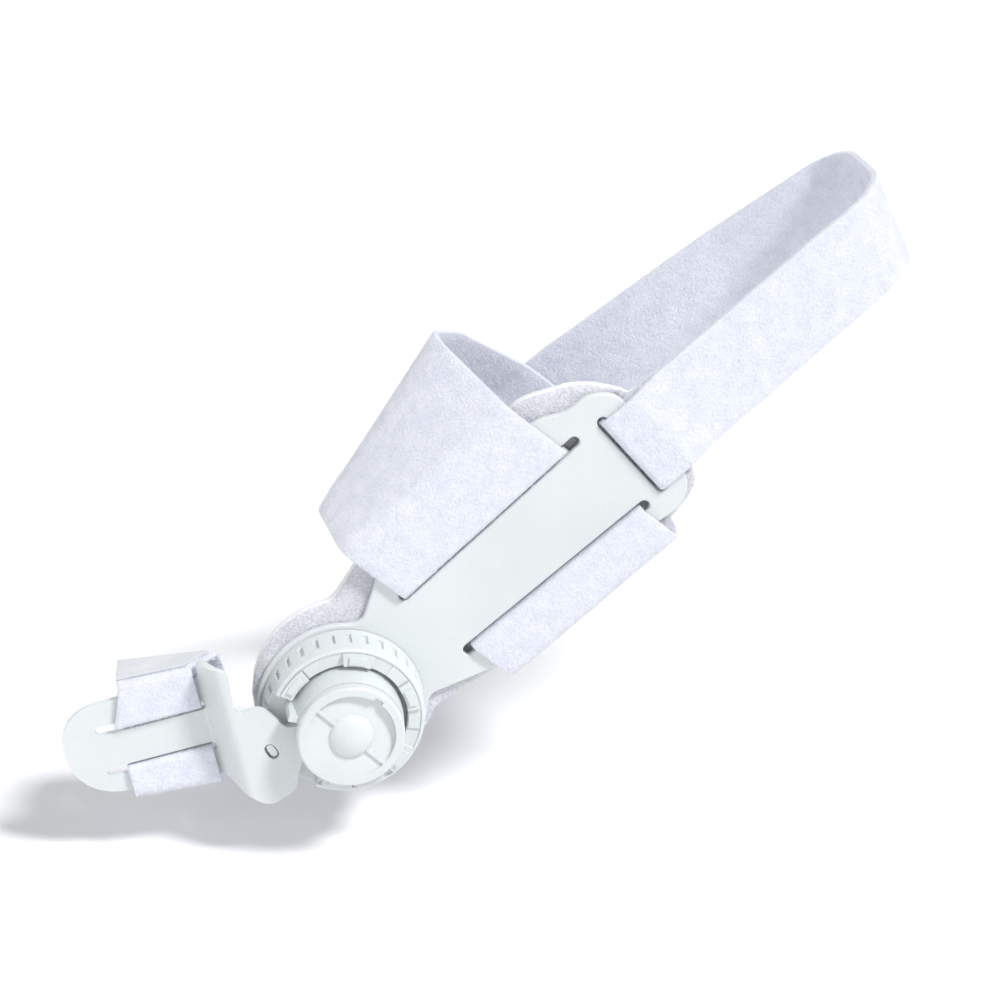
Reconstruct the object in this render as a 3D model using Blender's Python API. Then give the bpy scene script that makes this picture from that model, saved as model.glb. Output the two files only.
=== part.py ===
"""Bunion corrector for a right foot, in its worn form.

+X runs towards the heel, +Y into the foot, +Z up. The origin is on the foam pad's inner face,
on the dial's axis, which runs along Y. Two flat working frames share that origin:
the plate frame (u along the foot plate, v across it) and the splint frame (a along the toe
splint, from the dial to the toe tip, b across it, upwards). Lengths are in metres.
"""
import math

import bpy
import bmesh
from mathutils import Vector

for old in list(bpy.data.objects):
    bpy.data.objects.remove(old, do_unlink=True)

MM = 0.001
GAP = 0.3 * MM                      # running gap between pieces that touch on the real object
CUT = 1.0 * MM                      # how far a cutter passes the faces it goes through
BOND = 0.4 * MM                     # how far a raised part reaches into what it grows from

# Driving sizes: foot plate and foam pad
PLATE_SLOPE = math.radians(40.5)    # plate's long axis above the horizontal
PLATE_LENGTH = 108.0 * MM           # dial axis to the plate's heel end
PLATE_HALF_WIDTH = 25.0 * MM
PLATE_THICKNESS = 2.0 * MM
PLATE_DISC_RADIUS = 22.5 * MM
PLATE_NECK_FILLET = 4.0 * MM
PLATE_EDGE = 0.45 * MM              # chamfer of the moulded edges
PAD_THICKNESS = 4.0 * MM
PAD_DISC_RADIUS = 24.8 * MM
PAD_DISC_SHIFT = (3.4 * MM, 1.9 * MM)
PAD_LENGTH = 110.5 * MM
PAD_HALF_WIDTH = 30.0 * MM
PAD_NECK_FILLET = 3.0 * MM
RECESS_ROOM = 0.6 * MM              # what the pad's recess is wider than the straps in it
RECESS_AHEAD = 2.4 * MM             # where it starts, ahead of the midfoot strap

# Driving sizes: the three straps
STRAP_THICKNESS = 1.4 * MM
SLOT_WIDTH = 3.0 * MM
MIDFOOT_WIDTH = 57.0 * MM
MIDFOOT_SLOT_ROOM = 5.6 * MM        # how much longer the slots are than the strap is wide
UPPER_ROOM_AHEAD = 0.2              # share of that room on the dial's side of the strap
LOWER_ROOM_AHEAD = 0.5
MIDFOOT_FROM_END = 19.6 * MM        # strap's rear edge at the upper slot to the plate's heel end
MIDFOOT_START = PLATE_LENGTH - MIDFOOT_FROM_END - MIDFOOT_WIDTH
MIDFOOT_LEAN = 0.16                 # how far the loop leans towards the toes as it rises
SLOT_GAUGE_FRONT = 11.7 * MM        # half the distance between the slots, dial end
SLOT_GAUGE_REAR = 13.2 * MM         # the same, heel end
FOOT_WIDTH_FRONT = 84.0 * MM        # plate to the foot's outer side, strap's front edge
FOOT_WIDTH_REAR = 76.0 * MM
INSTEP_RISE_FRONT = 25.0 * MM       # instep above the upper slot
INSTEP_RISE_REAR = 42.0 * MM
SOLE_DROP = 13.5 * MM               # sole below the lower slot
HEEL_STRAP_WIDTH = 25.0 * MM
HEEL_SLOT_ROOM = 2.2 * MM
HEEL_SLOT_FROM_END = 7.8 * MM       # slot's middle to the plate's heel end
HEEL_REACH = 191.0 * MM             # dial axis to the strap's middle behind the heel
HEEL_TAIL = 18.0 * MM               # short end folded back behind the plate
HEEL_LEAVES_PLATE = 2.5 * MM        # where the strap bends inwards, past the plate's end
HEEL_TO_MIDFOOT = 5.0 * MM          # where it comes down on the midfoot strap, past its edge
HEEL_OUTER_DROP = 0.12              # its middle below the plate's axis there, in its widths
HEEL_END_OVERLAP = 24.0 * MM        # what lies on the midfoot strap at the outer side
TOE_STRAP_THICKNESS = 1.2 * MM
TOE_STRAP_WIDTH = 22.7 * MM
TOE_SLOT_WIDTH = 2.6 * MM
TOE_SLOT_FROM_BEND = 0.3 * MM
TOE_SLOT_ROOM = 6.6 * MM
TOE_STRAP_FROM_BEND = 1.4 * MM
TOE_LOOP_DEPTH = 26.3 * MM          # paddle's front to the far side of the toe
HOOK_TAB_THICKNESS = 0.8 * MM

# Driving sizes: dial
DRUM_RADIUS = 21.3 * MM
DRUM_FRONT_RADIUS = 20.3 * MM
DRUM_HEIGHT = 10.4 * MM
DRUM_FLOOR = 3.5 * MM               # how deep the floor lies behind the drum's front
DRUM_LIP = 1.0 * MM
DIAL_EDGE = 0.5 * MM                # chamfer round the drum's and the knob's front
NOTCH_COUNT = 30
NOTCH_ANGLE = math.radians(3.8)
NOTCH_LENGTH = 4.6 * MM
NOTCH_FROM_PLATE = 2.0 * MM
NOTCH_DEPTH = 0.9 * MM
NOTCH_ROUND = 0.22 * MM
OPENING_START = math.radians(155)   # the side open to the toe splint, seen from the front
OPENING_END = math.radians(245)
POST_RADIUS = 5.0 * MM
RING_INNER_RADIUS = 15.6 * MM
TAB_PITCH = math.radians(60)
TAB_START = math.radians(-100)
TAB_COUNT = 5
TAB_HEIGHT = 1.3 * MM
TAB_SPREAD = 0.42                   # a tab's angle as a share of the pitch
TAB_INSET = 0.1 * MM
TAB_TOP_HEIGHT = 0.6 * MM           # the smaller block on top of each tab
TAB_TOP_SPREAD = 0.6                # its angle as a share of the tab's
TAB_TOP_MARGIN = 0.22               # its margin as a share of the ring's width
BLOCK_HEIGHT = 0.5 * MM             # the low blocks between the tabs
BLOCK_SPREAD = 0.28
BLOCK_SHIFT = 0.13                  # how far they sit off the middle, in pitches
COLLAR_RADIUS = 15.0 * MM
COLLAR_RIM_RADIUS = 14.1 * MM
COLLAR_WALL = 2.9 * MM
COLLAR_LUG = 1.4 * MM               # how far its two ends stand out
LUG_ROOT = 0.4                      # where the lugs start in the wall, as a share of it
LUG_STEP = 0.2 * MM                 # how far they stop short of the wall's two faces
LUG_INSET = math.radians(0.3)
UPPER_LUG = math.radians(7.2)
LOWER_LUG = math.radians(26)
COLLAR_START = math.radians(-85)
COLLAR_END = math.radians(166)
COLLAR_HEIGHT = 9.7 * MM
KNOB_RADIUS = 13.9 * MM
KNOB_THICKNESS = 3.0 * MM
KNOB_HUB_RADIUS = 9.5 * MM
DISH_RADIUS = 11.6 * MM
DISH_DEPTH = 2.0 * MM
DISH_ANGLE = math.radians(46)       # where the dish is deepest
DISH_LEVEL = 0.45                   # its depth in the middle as a share of the deepest
RIDGE_WIDTH = 0.8 * MM
RIDGE_BELOW_RIM = 0.15 * MM
DOME_RADIUS = 5.8 * MM
DOME_HEIGHT = 2.7 * MM
RIM_NOTCH_TURN = math.radians(7)    # rim notch's middle past the dish's deepest place
RIM_NOTCH_ANGLE = math.radians(12)
RIM_NOTCH_WIDTH = 1.3 * MM
RIM_NOTCH_DEPTH = 1.1 * MM

# Driving sizes: toe splint and its arm
SPLINT_SLOPE = math.radians(12)     # splint's long axis below the horizontal
SPLINT_THICKNESS = 1.8 * MM
SPLINT_EDGE = 0.4 * MM
SPLINT_REACH = 73.0 * MM            # dial axis to the paddle's tip
SPLINT_SET_BACK = 10.0 * MM         # paddle behind leaf
BEND_START = 29.4 * MM
BEND_LENGTH = 4.8 * MM
BEND_RADIUS = 2.4 * MM
PADDLE_TOP = 18.2 * MM              # above the splint's axis
PADDLE_BOTTOM = 8.6 * MM            # below it
EAR_TOP = 23.6 * MM
LEAF_DROP = 16.6 * MM
TOE_SLOT_TOP = 10.6 * MM
TOE_SLOT_BOTTOM = 1.6 * MM
ARM_THICKNESS = 2.0 * MM
ARM_WIDTH = 8.4 * MM
ARM_REACH = 25.5 * MM
EYE_RADIUS = 10.4 * MM
PEG_REACH = 21.0 * MM
PEG_ANGLE = math.radians(-7)        # from the splint's axis
PEG_LENGTH = 3.8 * MM
PEG_WIDTH = 1.9 * MM
PEG_PLAY = 0.5 * MM
PEG_NUDGE = 0.3                     # how far it sits off the hole's middle, in plays
PEG_TURN = math.radians(71)

# Fineness
ARC_STEPS = 6                       # straight edges per rounded corner
SLOT_STEPS = 6                      # the same for half a turn of a slot's end
PEG_STEPS = 4
BAND_STEPS = 4                      # the same for a strap's bends
BAND_STRAIGHT_COUNT = 2             # points on each straight stretch of a strap
ROUND_STEPS = 72                    # per full turn
WELD = 1e-7
SHARP_ANGLE = math.radians(35)
BEVEL_ANGLE = math.radians(60)

# Finishes: colour and roughness
PLASTIC = ((0.86, 0.88, 0.88), 0.35)
CLOTH = ((0.88, 0.89, 0.93), 0.95)
FELT = ((0.66, 0.66, 0.70), 0.95)
HOOK = ((0.74, 0.76, 0.76), 0.6)

# Levels along Y, from the foot outwards
PAD_FRONT = -PAD_THICKNESS
PLATE_BACK = PAD_FRONT - GAP
PLATE_FRONT = PLATE_BACK - PLATE_THICKNESS
DRUM_BACK = PLATE_FRONT - GAP
DRUM_FRONT = DRUM_BACK - DRUM_HEIGHT
FLOOR = DRUM_FRONT + DRUM_FLOOR
ARM_BACK = FLOOR - GAP
ARM_FRONT = ARM_BACK - ARM_THICKNESS
LEAF_BACK = ARM_FRONT - GAP
LEAF_FRONT = LEAF_BACK - SPLINT_THICKNESS
HUB_BACK = LEAF_FRONT - GAP
COLLAR_BACK = FLOOR - GAP
COLLAR_FRONT = COLLAR_BACK - COLLAR_HEIGHT
POST_FRONT = COLLAR_FRONT
KNOB_BACK = COLLAR_FRONT - GAP
KNOB_FRONT = KNOB_BACK - KNOB_THICKNESS
RING_BACK = FLOOR - GAP
RING_FRONT = DRUM_FRONT + GAP
PADDLE_FRONT = LEAF_FRONT + SPLINT_SET_BACK
PADDLE_BACK = PADDLE_FRONT + SPLINT_THICKNESS
STRAP_INSIDE = PLATE_BACK + GAP + STRAP_THICKNESS / 2
STRAP_OUTSIDE = PLATE_FRONT - GAP - STRAP_THICKNESS / 2
TOE_INSIDE = PADDLE_BACK + GAP + TOE_STRAP_THICKNESS / 2
TOE_OUTSIDE = PADDLE_FRONT - GAP - TOE_STRAP_THICKNESS / 2


# Frames

def plate_point(u, v, y):
    c, s = math.cos(PLATE_SLOPE), math.sin(PLATE_SLOPE)
    return Vector((u * c - v * s, y, u * s + v * c))


def splint_point(a, b, y):
    c, s = math.cos(SPLINT_SLOPE), math.sin(SPLINT_SLOPE)
    return Vector((-a * c - b * s, y, -a * s + b * c))


def dial_point(x, z, y):
    return Vector((x, y, z))


# Outlines

def arc(cx, cy, radius, start, end, steps):
    turns = [start + (end - start) * i / steps for i in range(steps + 1)]
    return [(cx + radius * math.cos(t), cy + radius * math.sin(t)) for t in turns]


def rounded(corners, closed=True, steps=ARC_STEPS, between=0):
    """Points of a path through corners (x, y, ..., radius), each corner turned into an arc.

    A corner may have two or three coordinates. An open path keeps its two ends as they are.
    Each straight stretch gets as many points of its own as between says.
    """
    bends = []
    count = len(corners)
    for i, corner in enumerate(corners):
        here = Vector(corner[:-1])
        if not closed and i in (0, count - 1):
            bends.append([here])
            continue
        before = Vector(corners[i - 1][:-1]) - here
        after = Vector(corners[(i + 1) % count][:-1]) - here
        half = before.angle(after) / 2
        reach = corner[-1] / math.tan(half)
        bisector = (before.normalized() + after.normalized()).normalized()
        centre = here + bisector * (corner[-1] / math.sin(half))
        first = here + before.normalized() * reach - centre
        last = here + after.normalized() * reach - centre
        sweep = first.angle(last)
        bend = []
        for k in range(steps + 1):
            share = k / steps
            side = math.sin((1 - share) * sweep) / math.sin(sweep)
            other = math.sin(share * sweep) / math.sin(sweep)
            bend.append(centre + first * side + last * other)
        bends.append(bend)
    points = []
    for i, bend in enumerate(bends):
        points += bend
        if closed or i < count - 1:
            start, end = bend[-1], bends[(i + 1) % count][0]
            points += [start.lerp(end, k / (between + 1)) for k in range(1, between + 1)]
    return points


def disc_join(radius, fillet, point, direction, side):
    """Concave fillet between a disc at the origin and a straight edge that leaves it.

    Returns the fillet's points, from the disc to the edge. side is 1 where the disc's free
    rim lies to the left of the edge's direction, and -1 where it lies to the right.
    """
    line = Vector(direction).normalized()
    normal = Vector((-line.y, line.x)) * side
    offset = normal.dot(Vector(point)) + fillet
    along = math.sqrt((radius + fillet) ** 2 - offset ** 2)
    centre = normal * offset + line * along
    first = centre * (radius / (radius + fillet)) - centre
    last = -normal * fillet
    start = math.atan2(first.y, first.x)
    turn = math.atan2(first.x * last.y - first.y * last.x, first.dot(last))
    return arc(centre.x, centre.y, fillet, start, start + turn, ARC_STEPS)


def disc_outline(radius, shift, fillet, corners):
    """Outline of a body that grows out of a disc; corners run from the lower edge round."""
    local = [(x - shift[0], y - shift[1], r) for x, y, r in corners]
    low, low_next = Vector(local[0][:2]), Vector(local[1][:2])
    high, high_next = Vector(local[-1][:2]), Vector(local[-2][:2])
    start = disc_join(radius, fillet, low, low_next - low, -1)
    end = disc_join(radius, fillet, high, high_next - high, 1)
    body = rounded([(*start[-1], 0.0)] + local[1:-1] + [(*end[-1], 0.0)], closed=False)
    from_angle = math.atan2(end[0][1], end[0][0])
    to_angle = math.atan2(start[0][1], start[0][0]) + 2 * math.pi
    rim = arc(0, 0, radius, from_angle, to_angle, ROUND_STEPS // 2)
    points = start + [tuple(p) for p in body[1:-1]] + end[::-1] + rim[1:-1]
    return [(x + shift[0], y + shift[1]) for x, y in points]


def obround(length, width, cx, cy, turn, steps=SLOT_STEPS):
    """Outline of a slot with round ends."""
    half = (length - width) / 2
    ends = arc(half, 0, width / 2, -math.pi / 2, math.pi / 2, steps)
    ends += arc(-half, 0, width / 2, math.pi / 2, 3 * math.pi / 2, steps)
    c, s = math.cos(turn), math.sin(turn)
    return [(cx + x * c - y * s, cy + x * s + y * c) for x, y in ends]


# Solids

def material(name, finish):
    colour, roughness = finish
    surface = bpy.data.materials.new(name)
    surface.use_nodes = True
    shader = surface.node_tree.nodes["Principled BSDF"]
    shader.inputs["Base Color"].default_value = (*colour, 1.0)
    shader.inputs["Roughness"].default_value = roughness
    return surface


def make_object(name, bm, finish=None):
    bmesh.ops.remove_doubles(bm, verts=bm.verts, dist=WELD)
    bmesh.ops.recalc_face_normals(bm, faces=bm.faces)
    mesh = bpy.data.meshes.new(name)
    bm.to_mesh(mesh)
    bm.free()
    mesh.shade_smooth()
    mesh.set_sharp_from_angle(angle=SHARP_ANGLE)
    obj = bpy.data.objects.new(name, mesh)
    bpy.context.scene.collection.objects.link(obj)
    if finish is not None:
        mesh.materials.append(material(name + "_finish", finish))
    return obj


def add_prism(bm, outline, place, y0, y1):
    bottom = [bm.verts.new(place(x, z, y0)) for x, z in outline]
    top = [bm.verts.new(place(x, z, y1)) for x, z in outline]
    bm.faces.new(bottom)
    bm.faces.new(top[::-1])
    for i in range(len(outline)):
        j = (i + 1) % len(outline)
        bm.faces.new((bottom[j], bottom[i], top[i], top[j]))


def prism(name, outline, place, y0, y1, finish=None):
    bm = bmesh.new()
    add_prism(bm, outline, place, y0, y1)
    return make_object(name, bm, finish)


def add_turned(bm, profile, angles, full):
    """Turn a profile of (radius, y) about the Y axis; returns faces[column][row]."""
    rings = []
    for t in angles:
        rings.append([bm.verts.new((r * math.cos(t), y, r * math.sin(t))) for r, y in profile])
    columns = len(angles) if full else len(angles) - 1
    rows = len(profile)
    faces = []
    for i in range(columns):
        near, far = rings[i], rings[(i + 1) % len(rings)]
        faces.append([])
        for k in range(rows):
            m = (k + 1) % rows
            if profile[k][0] < WELD and profile[m][0] < WELD:
                continue
            faces[i].append(bm.faces.new((near[k], near[m], far[m], far[k])))
    if not full:
        bm.faces.new(rings[0])
        bm.faces.new(rings[-1][::-1])
    return faces


def part_turn(start, end):
    steps = max(1, round((end - start) / (2 * math.pi) * ROUND_STEPS))
    return [start + (end - start) * i / steps for i in range(steps + 1)]


def full_turn(steps):
    return [2 * math.pi * i / steps for i in range(steps)]


def turned(name, profile, angles, full, finish=None):
    bm = bmesh.new()
    add_turned(bm, profile, angles, full)
    return make_object(name, bm, finish)


def cut(target, tool, operation="DIFFERENCE"):
    tool.hide_render = True
    tool.display_type = "WIRE"
    step = target.modifiers.new(tool.name, "BOOLEAN")
    step.operation = operation
    step.solver = "EXACT"
    step.object = tool


def soften(target, width):
    bevel = target.modifiers.new("moulded_edge", "BEVEL")
    bevel.width = width
    bevel.segments = 1
    bevel.limit_method = "ANGLE"
    bevel.angle_limit = BEVEL_ANGLE
    bevel.use_clamp_overlap = True


def path_normals(points, closed):
    normals = []
    count = len(points)
    for i in range(count):
        before = points[i - 1] if closed or i > 0 else points[i]
        after = points[(i + 1) % count] if closed or i < count - 1 else points[i]
        along = (after - before).normalized()
        normals.append(Vector((along.y, -along.x)))
    return normals


def band(name, edges, place, thickness, closed, spans, finish):
    """A strap lofted between its two edges, each a list of (lengthwise, across, y) points.

    The thickness is laid half to each side of every edge's own path in its (across, y) plane.
    """
    sides = []
    for edge in edges:
        path = [Vector(point[1:]) for point in edge]
        outer, inner = [], []
        for point, flat, normal in zip(edge, path, path_normals(path, closed)):
            out, back = flat + normal * thickness / 2, flat - normal * thickness / 2
            outer.append(place(point[0], out.x, out.y))
            inner.append(place(point[0], back.x, back.y))
        sides.append((outer, inner))
    bm = bmesh.new()
    grid = []
    for s in range(spans + 1):
        share = s / spans
        grid.append([[bm.verts.new(a.lerp(b, share)) for a, b in zip(sides[0][k], sides[1][k])]
                     for k in (0, 1)])
    count = len(edges[0])
    steps = range(count if closed else count - 1)
    for (outer, inner), (outer_next, inner_next) in zip(grid, grid[1:]):
        for i in steps:
            j = (i + 1) % count
            bm.faces.new((outer[i], outer[j], outer_next[j], outer_next[i]))
            bm.faces.new((inner[j], inner[i], inner_next[i], inner_next[j]))
        if not closed:
            for i in (0, count - 1):
                bm.faces.new((outer[i], outer_next[i], inner_next[i], inner[i]))
    for outer, inner in (grid[0], grid[-1]):
        for i in steps:
            j = (i + 1) % count
            bm.faces.new((outer[i], outer[j], inner[j], inner[i]))
    return make_object(name, bm, finish)


# Foot plate

PLATE_CORNERS = (
    # share of length, share of half width, corner radius as a share of half width
    (0.160, -0.560, 0.0),
    (0.355, -0.860, 0.40),
    (0.640, -0.900, 1.20),
    (0.860, -0.770, 0.60),
    (0.995, -0.840, 0.36),
    (1.000, 0.640, 0.30),
    (0.945, 0.830, 0.30),
    (0.880, 0.830, 0.40),
    (0.815, 1.000, 0.60),
    (0.330, 0.960, 0.60),
    (0.190, 0.590, 0.0),
)


def midfoot_slot(side):
    """Centre, turn and length of the upper (side 1) or lower (side -1) long slot."""
    ahead = UPPER_ROOM_AHEAD if side > 0 else LOWER_ROOM_AHEAD
    start = MIDFOOT_START - MIDFOOT_SLOT_ROOM * ahead
    start += MIDFOOT_LEAN * SLOT_GAUGE_FRONT * (1 - side)
    length = MIDFOOT_WIDTH + MIDFOOT_SLOT_ROOM
    turn = math.atan2((SLOT_GAUGE_REAR - SLOT_GAUGE_FRONT) * side, length)
    middle = (SLOT_GAUGE_FRONT + SLOT_GAUGE_REAR) / 2 * side
    return start + length / 2, middle, turn, length


def make_foot_plate():
    corners = [(PLATE_LENGTH * a, PLATE_HALF_WIDTH * b, PLATE_HALF_WIDTH * r)
               for a, b, r in PLATE_CORNERS]
    outline = disc_outline(PLATE_DISC_RADIUS, (0.0, 0.0), PLATE_NECK_FILLET, corners)
    plate = prism("foot_plate", outline, plate_point, PLATE_FRONT, PLATE_BACK, PLASTIC)
    bm = bmesh.new()
    for side in (1, -1):
        middle, across, turn, length = midfoot_slot(side)
        slot = obround(length, SLOT_WIDTH, middle, across, turn)
        add_prism(bm, slot, plate_point, PLATE_FRONT - CUT, PLATE_BACK + CUT)
    heel_slot = obround(HEEL_STRAP_WIDTH + HEEL_SLOT_ROOM, SLOT_WIDTH,
                        PLATE_LENGTH - HEEL_SLOT_FROM_END, 0.0, math.pi / 2)
    add_prism(bm, heel_slot, plate_point, PLATE_FRONT - CUT, PLATE_BACK + CUT)
    cut(plate, make_object("plate_slots_cutter", bm))
    soften(plate, PLATE_EDGE)
    return plate


# Foam pad

PAD_CORNERS = (
    # share of length, share of half width, corner radius as a share of half width
    (0.150, -0.640, 0.0),
    (0.330, -0.750, 0.40),
    (0.790, -0.800, 0.60),
    (1.000, -0.640, 0.30),
    (1.000, 0.450, 0.40),
    (0.930, 0.790, 0.40),
    (0.800, 1.030, 0.50),
    (0.330, 0.960, 0.40),
    (0.162, 0.776, 0.0),
)


def make_foam_pad():
    corners = [(PAD_LENGTH * a, PAD_HALF_WIDTH * b, PAD_HALF_WIDTH * r)
               for a, b, r in PAD_CORNERS]
    outline = disc_outline(PAD_DISC_RADIUS, PAD_DISC_SHIFT, PAD_NECK_FILLET, corners)
    pad = prism("foam_pad", outline, plate_point, PAD_FRONT, 0.0, FELT)
    room = SLOT_GAUGE_REAR + STRAP_THICKNESS / 2 + 2 * GAP + RECESS_ROOM
    u0 = MIDFOOT_START - RECESS_AHEAD
    u1 = PAD_LENGTH + CUT
    recess = [(u0, -room), (u1, -room), (u1, room), (u0, room)]
    floor = STRAP_INSIDE + STRAP_THICKNESS / 2 + GAP
    cut(pad, prism("pad_recess_cutter", recess, plate_point, PAD_FRONT - CUT, floor))
    return pad


# Dial

def make_dial_base():
    y_notch = DRUM_BACK - NOTCH_FROM_PLATE
    y_plain = y_notch - NOTCH_LENGTH
    slope = (DRUM_RADIUS - DRUM_FRONT_RADIUS) / DRUM_HEIGHT
    lip = DRUM_FRONT_RADIUS - DRUM_LIP
    profile = [
        (0.0, DRUM_BACK),
        (DRUM_RADIUS, DRUM_BACK),
        (DRUM_RADIUS - slope * (DRUM_BACK - y_notch), y_notch),
        (DRUM_RADIUS - slope * (DRUM_BACK - y_plain), y_plain),
        (DRUM_FRONT_RADIUS, DRUM_FRONT + DIAL_EDGE),
        (DRUM_FRONT_RADIUS - DIAL_EDGE, DRUM_FRONT),
        (lip, DRUM_FRONT),
        (lip, FLOOR),
        (POST_RADIUS, FLOOR),
        (POST_RADIUS, POST_FRONT),
        (0.0, POST_FRONT),
    ]
    pitch = 2 * math.pi / NOTCH_COUNT
    angles = []
    for i in range(NOTCH_COUNT):
        start = i * pitch
        angles += [start, start + NOTCH_ANGLE, start + (pitch + NOTCH_ANGLE) / 2]
    bm = bmesh.new()
    faces = add_turned(bm, profile, angles, full=True)
    notches = [faces[3 * i][2] for i in range(NOTCH_COUNT)]
    bmesh.ops.remove_doubles(bm, verts=bm.verts, dist=WELD)
    bmesh.ops.recalc_face_normals(bm, faces=bm.faces)
    bmesh.ops.inset_individual(bm, faces=notches, thickness=NOTCH_ROUND, depth=-NOTCH_DEPTH)
    drum = make_object("dial_base", bm, PLASTIC)
    opening = [(lip - CUT, FLOOR), (DRUM_RADIUS + CUT, FLOOR),
               (DRUM_RADIUS + CUT, DRUM_FRONT - CUT), (lip - CUT, DRUM_FRONT - CUT)]
    angles = part_turn(OPENING_START, OPENING_END)
    cut(drum, turned("dial_opening_cutter", opening, angles, full=False))
    return drum


def block(bm, angle, spread, inner, outer, back, front):
    """A ring sector with its middle at an angle."""
    profile = [(inner, back), (outer, back), (outer, front), (inner, front)]
    add_turned(bm, profile, part_turn(angle - spread / 2, angle + spread / 2), full=False)


def make_click_ring():
    outer = DRUM_FRONT_RADIUS - DRUM_LIP - GAP
    start = OPENING_END - 2 * math.pi
    profile = [(RING_INNER_RADIUS, RING_BACK), (outer, RING_BACK),
               (outer, RING_FRONT), (RING_INNER_RADIUS, RING_FRONT)]
    ring = turned("click_ring", profile, part_turn(start, OPENING_START), False, PLASTIC)
    spread = TAB_SPREAD * TAB_PITCH
    root = RING_FRONT + BOND
    bm = bmesh.new()
    for i in range(TAB_COUNT):
        middle = TAB_START + i * TAB_PITCH
        block(bm, middle, spread, RING_INNER_RADIUS + TAB_INSET, outer - TAB_INSET,
              root, RING_FRONT - TAB_HEIGHT)
        if i < TAB_COUNT - 1:
            side = 1 if i % 2 else -1
            block(bm, middle + TAB_PITCH * (0.5 + side * BLOCK_SHIFT), BLOCK_SPREAD * TAB_PITCH,
                  RING_INNER_RADIUS + 2 * TAB_INSET, outer - 2 * TAB_INSET,
                  root, RING_FRONT - BLOCK_HEIGHT)
    cut(ring, make_object("ring_tabs_cutter", bm), "UNION")
    margin = TAB_TOP_MARGIN * (outer - RING_INNER_RADIUS)
    bm = bmesh.new()
    for i in range(TAB_COUNT):
        block(bm, TAB_START + i * TAB_PITCH, TAB_TOP_SPREAD * spread,
              RING_INNER_RADIUS + margin, outer - margin,
              root, RING_FRONT - TAB_HEIGHT - TAB_TOP_HEIGHT)
    cut(ring, make_object("ring_tab_tops_cutter", bm), "UNION")
    return ring


def make_dial_collar():
    bore = COLLAR_RIM_RADIUS - COLLAR_WALL
    profile = [(bore, COLLAR_BACK), (COLLAR_RADIUS, COLLAR_BACK),
               (COLLAR_RIM_RADIUS, COLLAR_FRONT), (bore, COLLAR_FRONT)]
    collar = turned("dial_collar", profile, part_turn(COLLAR_START, COLLAR_END), False, PLASTIC)
    over_tabs = RING_FRONT - TAB_HEIGHT - TAB_TOP_HEIGHT - GAP
    root = bore + LUG_ROOT * COLLAR_WALL
    end = COLLAR_RADIUS + COLLAR_LUG
    bm = bmesh.new()
    block(bm, COLLAR_END - LUG_INSET - UPPER_LUG / 2, UPPER_LUG, root, end,
          COLLAR_BACK - LUG_STEP, COLLAR_FRONT + LUG_STEP)
    block(bm, COLLAR_START + LUG_INSET + LOWER_LUG / 2, LOWER_LUG, root, end,
          over_tabs, COLLAR_FRONT + LUG_STEP)
    cut(collar, make_object("collar_lugs_cutter", bm), "UNION")
    return collar


def dish_cutter():
    """A drum with a slanted floor, deepest at the dish's own angle."""
    rim, floor = [], []
    bm = bmesh.new()
    for t in full_turn(ROUND_STEPS // 2):
        depth = DISH_DEPTH * (DISH_LEVEL + (1 - DISH_LEVEL) * math.cos(t - DISH_ANGLE))
        x, z = DISH_RADIUS * math.cos(t), DISH_RADIUS * math.sin(t)
        rim.append(bm.verts.new((x, KNOB_FRONT - CUT, z)))
        floor.append(bm.verts.new((x, KNOB_FRONT + depth, z)))
    bm.faces.new(rim)
    bm.faces.new(floor[::-1])
    for i in range(len(rim)):
        bm.faces.new((rim[i - 1], rim[i], floor[i], floor[i - 1]))
    return make_object("knob_dish_cutter", bm)


def make_knob():
    bore = POST_RADIUS + GAP
    profile = [(0.0, KNOB_BACK), (bore, KNOB_BACK), (bore, HUB_BACK),
               (KNOB_HUB_RADIUS, HUB_BACK), (KNOB_HUB_RADIUS, KNOB_BACK),
               (KNOB_RADIUS, KNOB_BACK), (KNOB_RADIUS, KNOB_FRONT + DIAL_EDGE),
               (KNOB_RADIUS - DIAL_EDGE, KNOB_FRONT), (0.0, KNOB_FRONT)]
    knob = turned("knob", profile, full_turn(ROUND_STEPS), True, PLASTIC)
    cut(knob, dish_cutter())
    root = KNOB_BACK - BOND
    half, side = DISH_RADIUS + BOND, RIDGE_WIDTH / 2
    turn = DISH_ANGLE - math.pi / 2
    c, s = math.cos(turn), math.sin(turn)
    ridge = [(x * c - z * s, x * s + z * c)
             for x, z in ((-half, -side), (half, -side), (half, side), (-half, side))]
    front = KNOB_FRONT + RIDGE_BELOW_RIM
    cut(knob, prism("knob_ridge_cutter", ridge, dial_point, root, front), "UNION")
    base = KNOB_FRONT + DISH_DEPTH * DISH_LEVEL
    profile = [(0.0, root), (DOME_RADIUS, root)]
    for y, r in arc(base, 0.0, 1.0, math.pi / 2, 0.0, ARC_STEPS):
        profile.append((r * DOME_RADIUS, base - (y - base) * DOME_HEIGHT))
    dome = turned("knob_dome_cutter", profile, full_turn(ROUND_STEPS // 2), True)
    cut(knob, dome, "UNION")
    inner = DISH_RADIUS - BOND
    bm = bmesh.new()
    block(bm, DISH_ANGLE + RIM_NOTCH_TURN, RIM_NOTCH_ANGLE, inner, inner + RIM_NOTCH_WIDTH,
          KNOB_FRONT + RIM_NOTCH_DEPTH, KNOB_FRONT - CUT)
    cut(knob, make_object("knob_notch_cutter", bm))
    return knob


# Toe splint and its arm

def peg_centre():
    return PEG_REACH * math.cos(PEG_ANGLE), PEG_REACH * math.sin(PEG_ANGLE)


def round_hole(radius):
    return arc(0, 0, radius, 0, 2 * math.pi, ROUND_STEPS // 2)[:-1]


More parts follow.
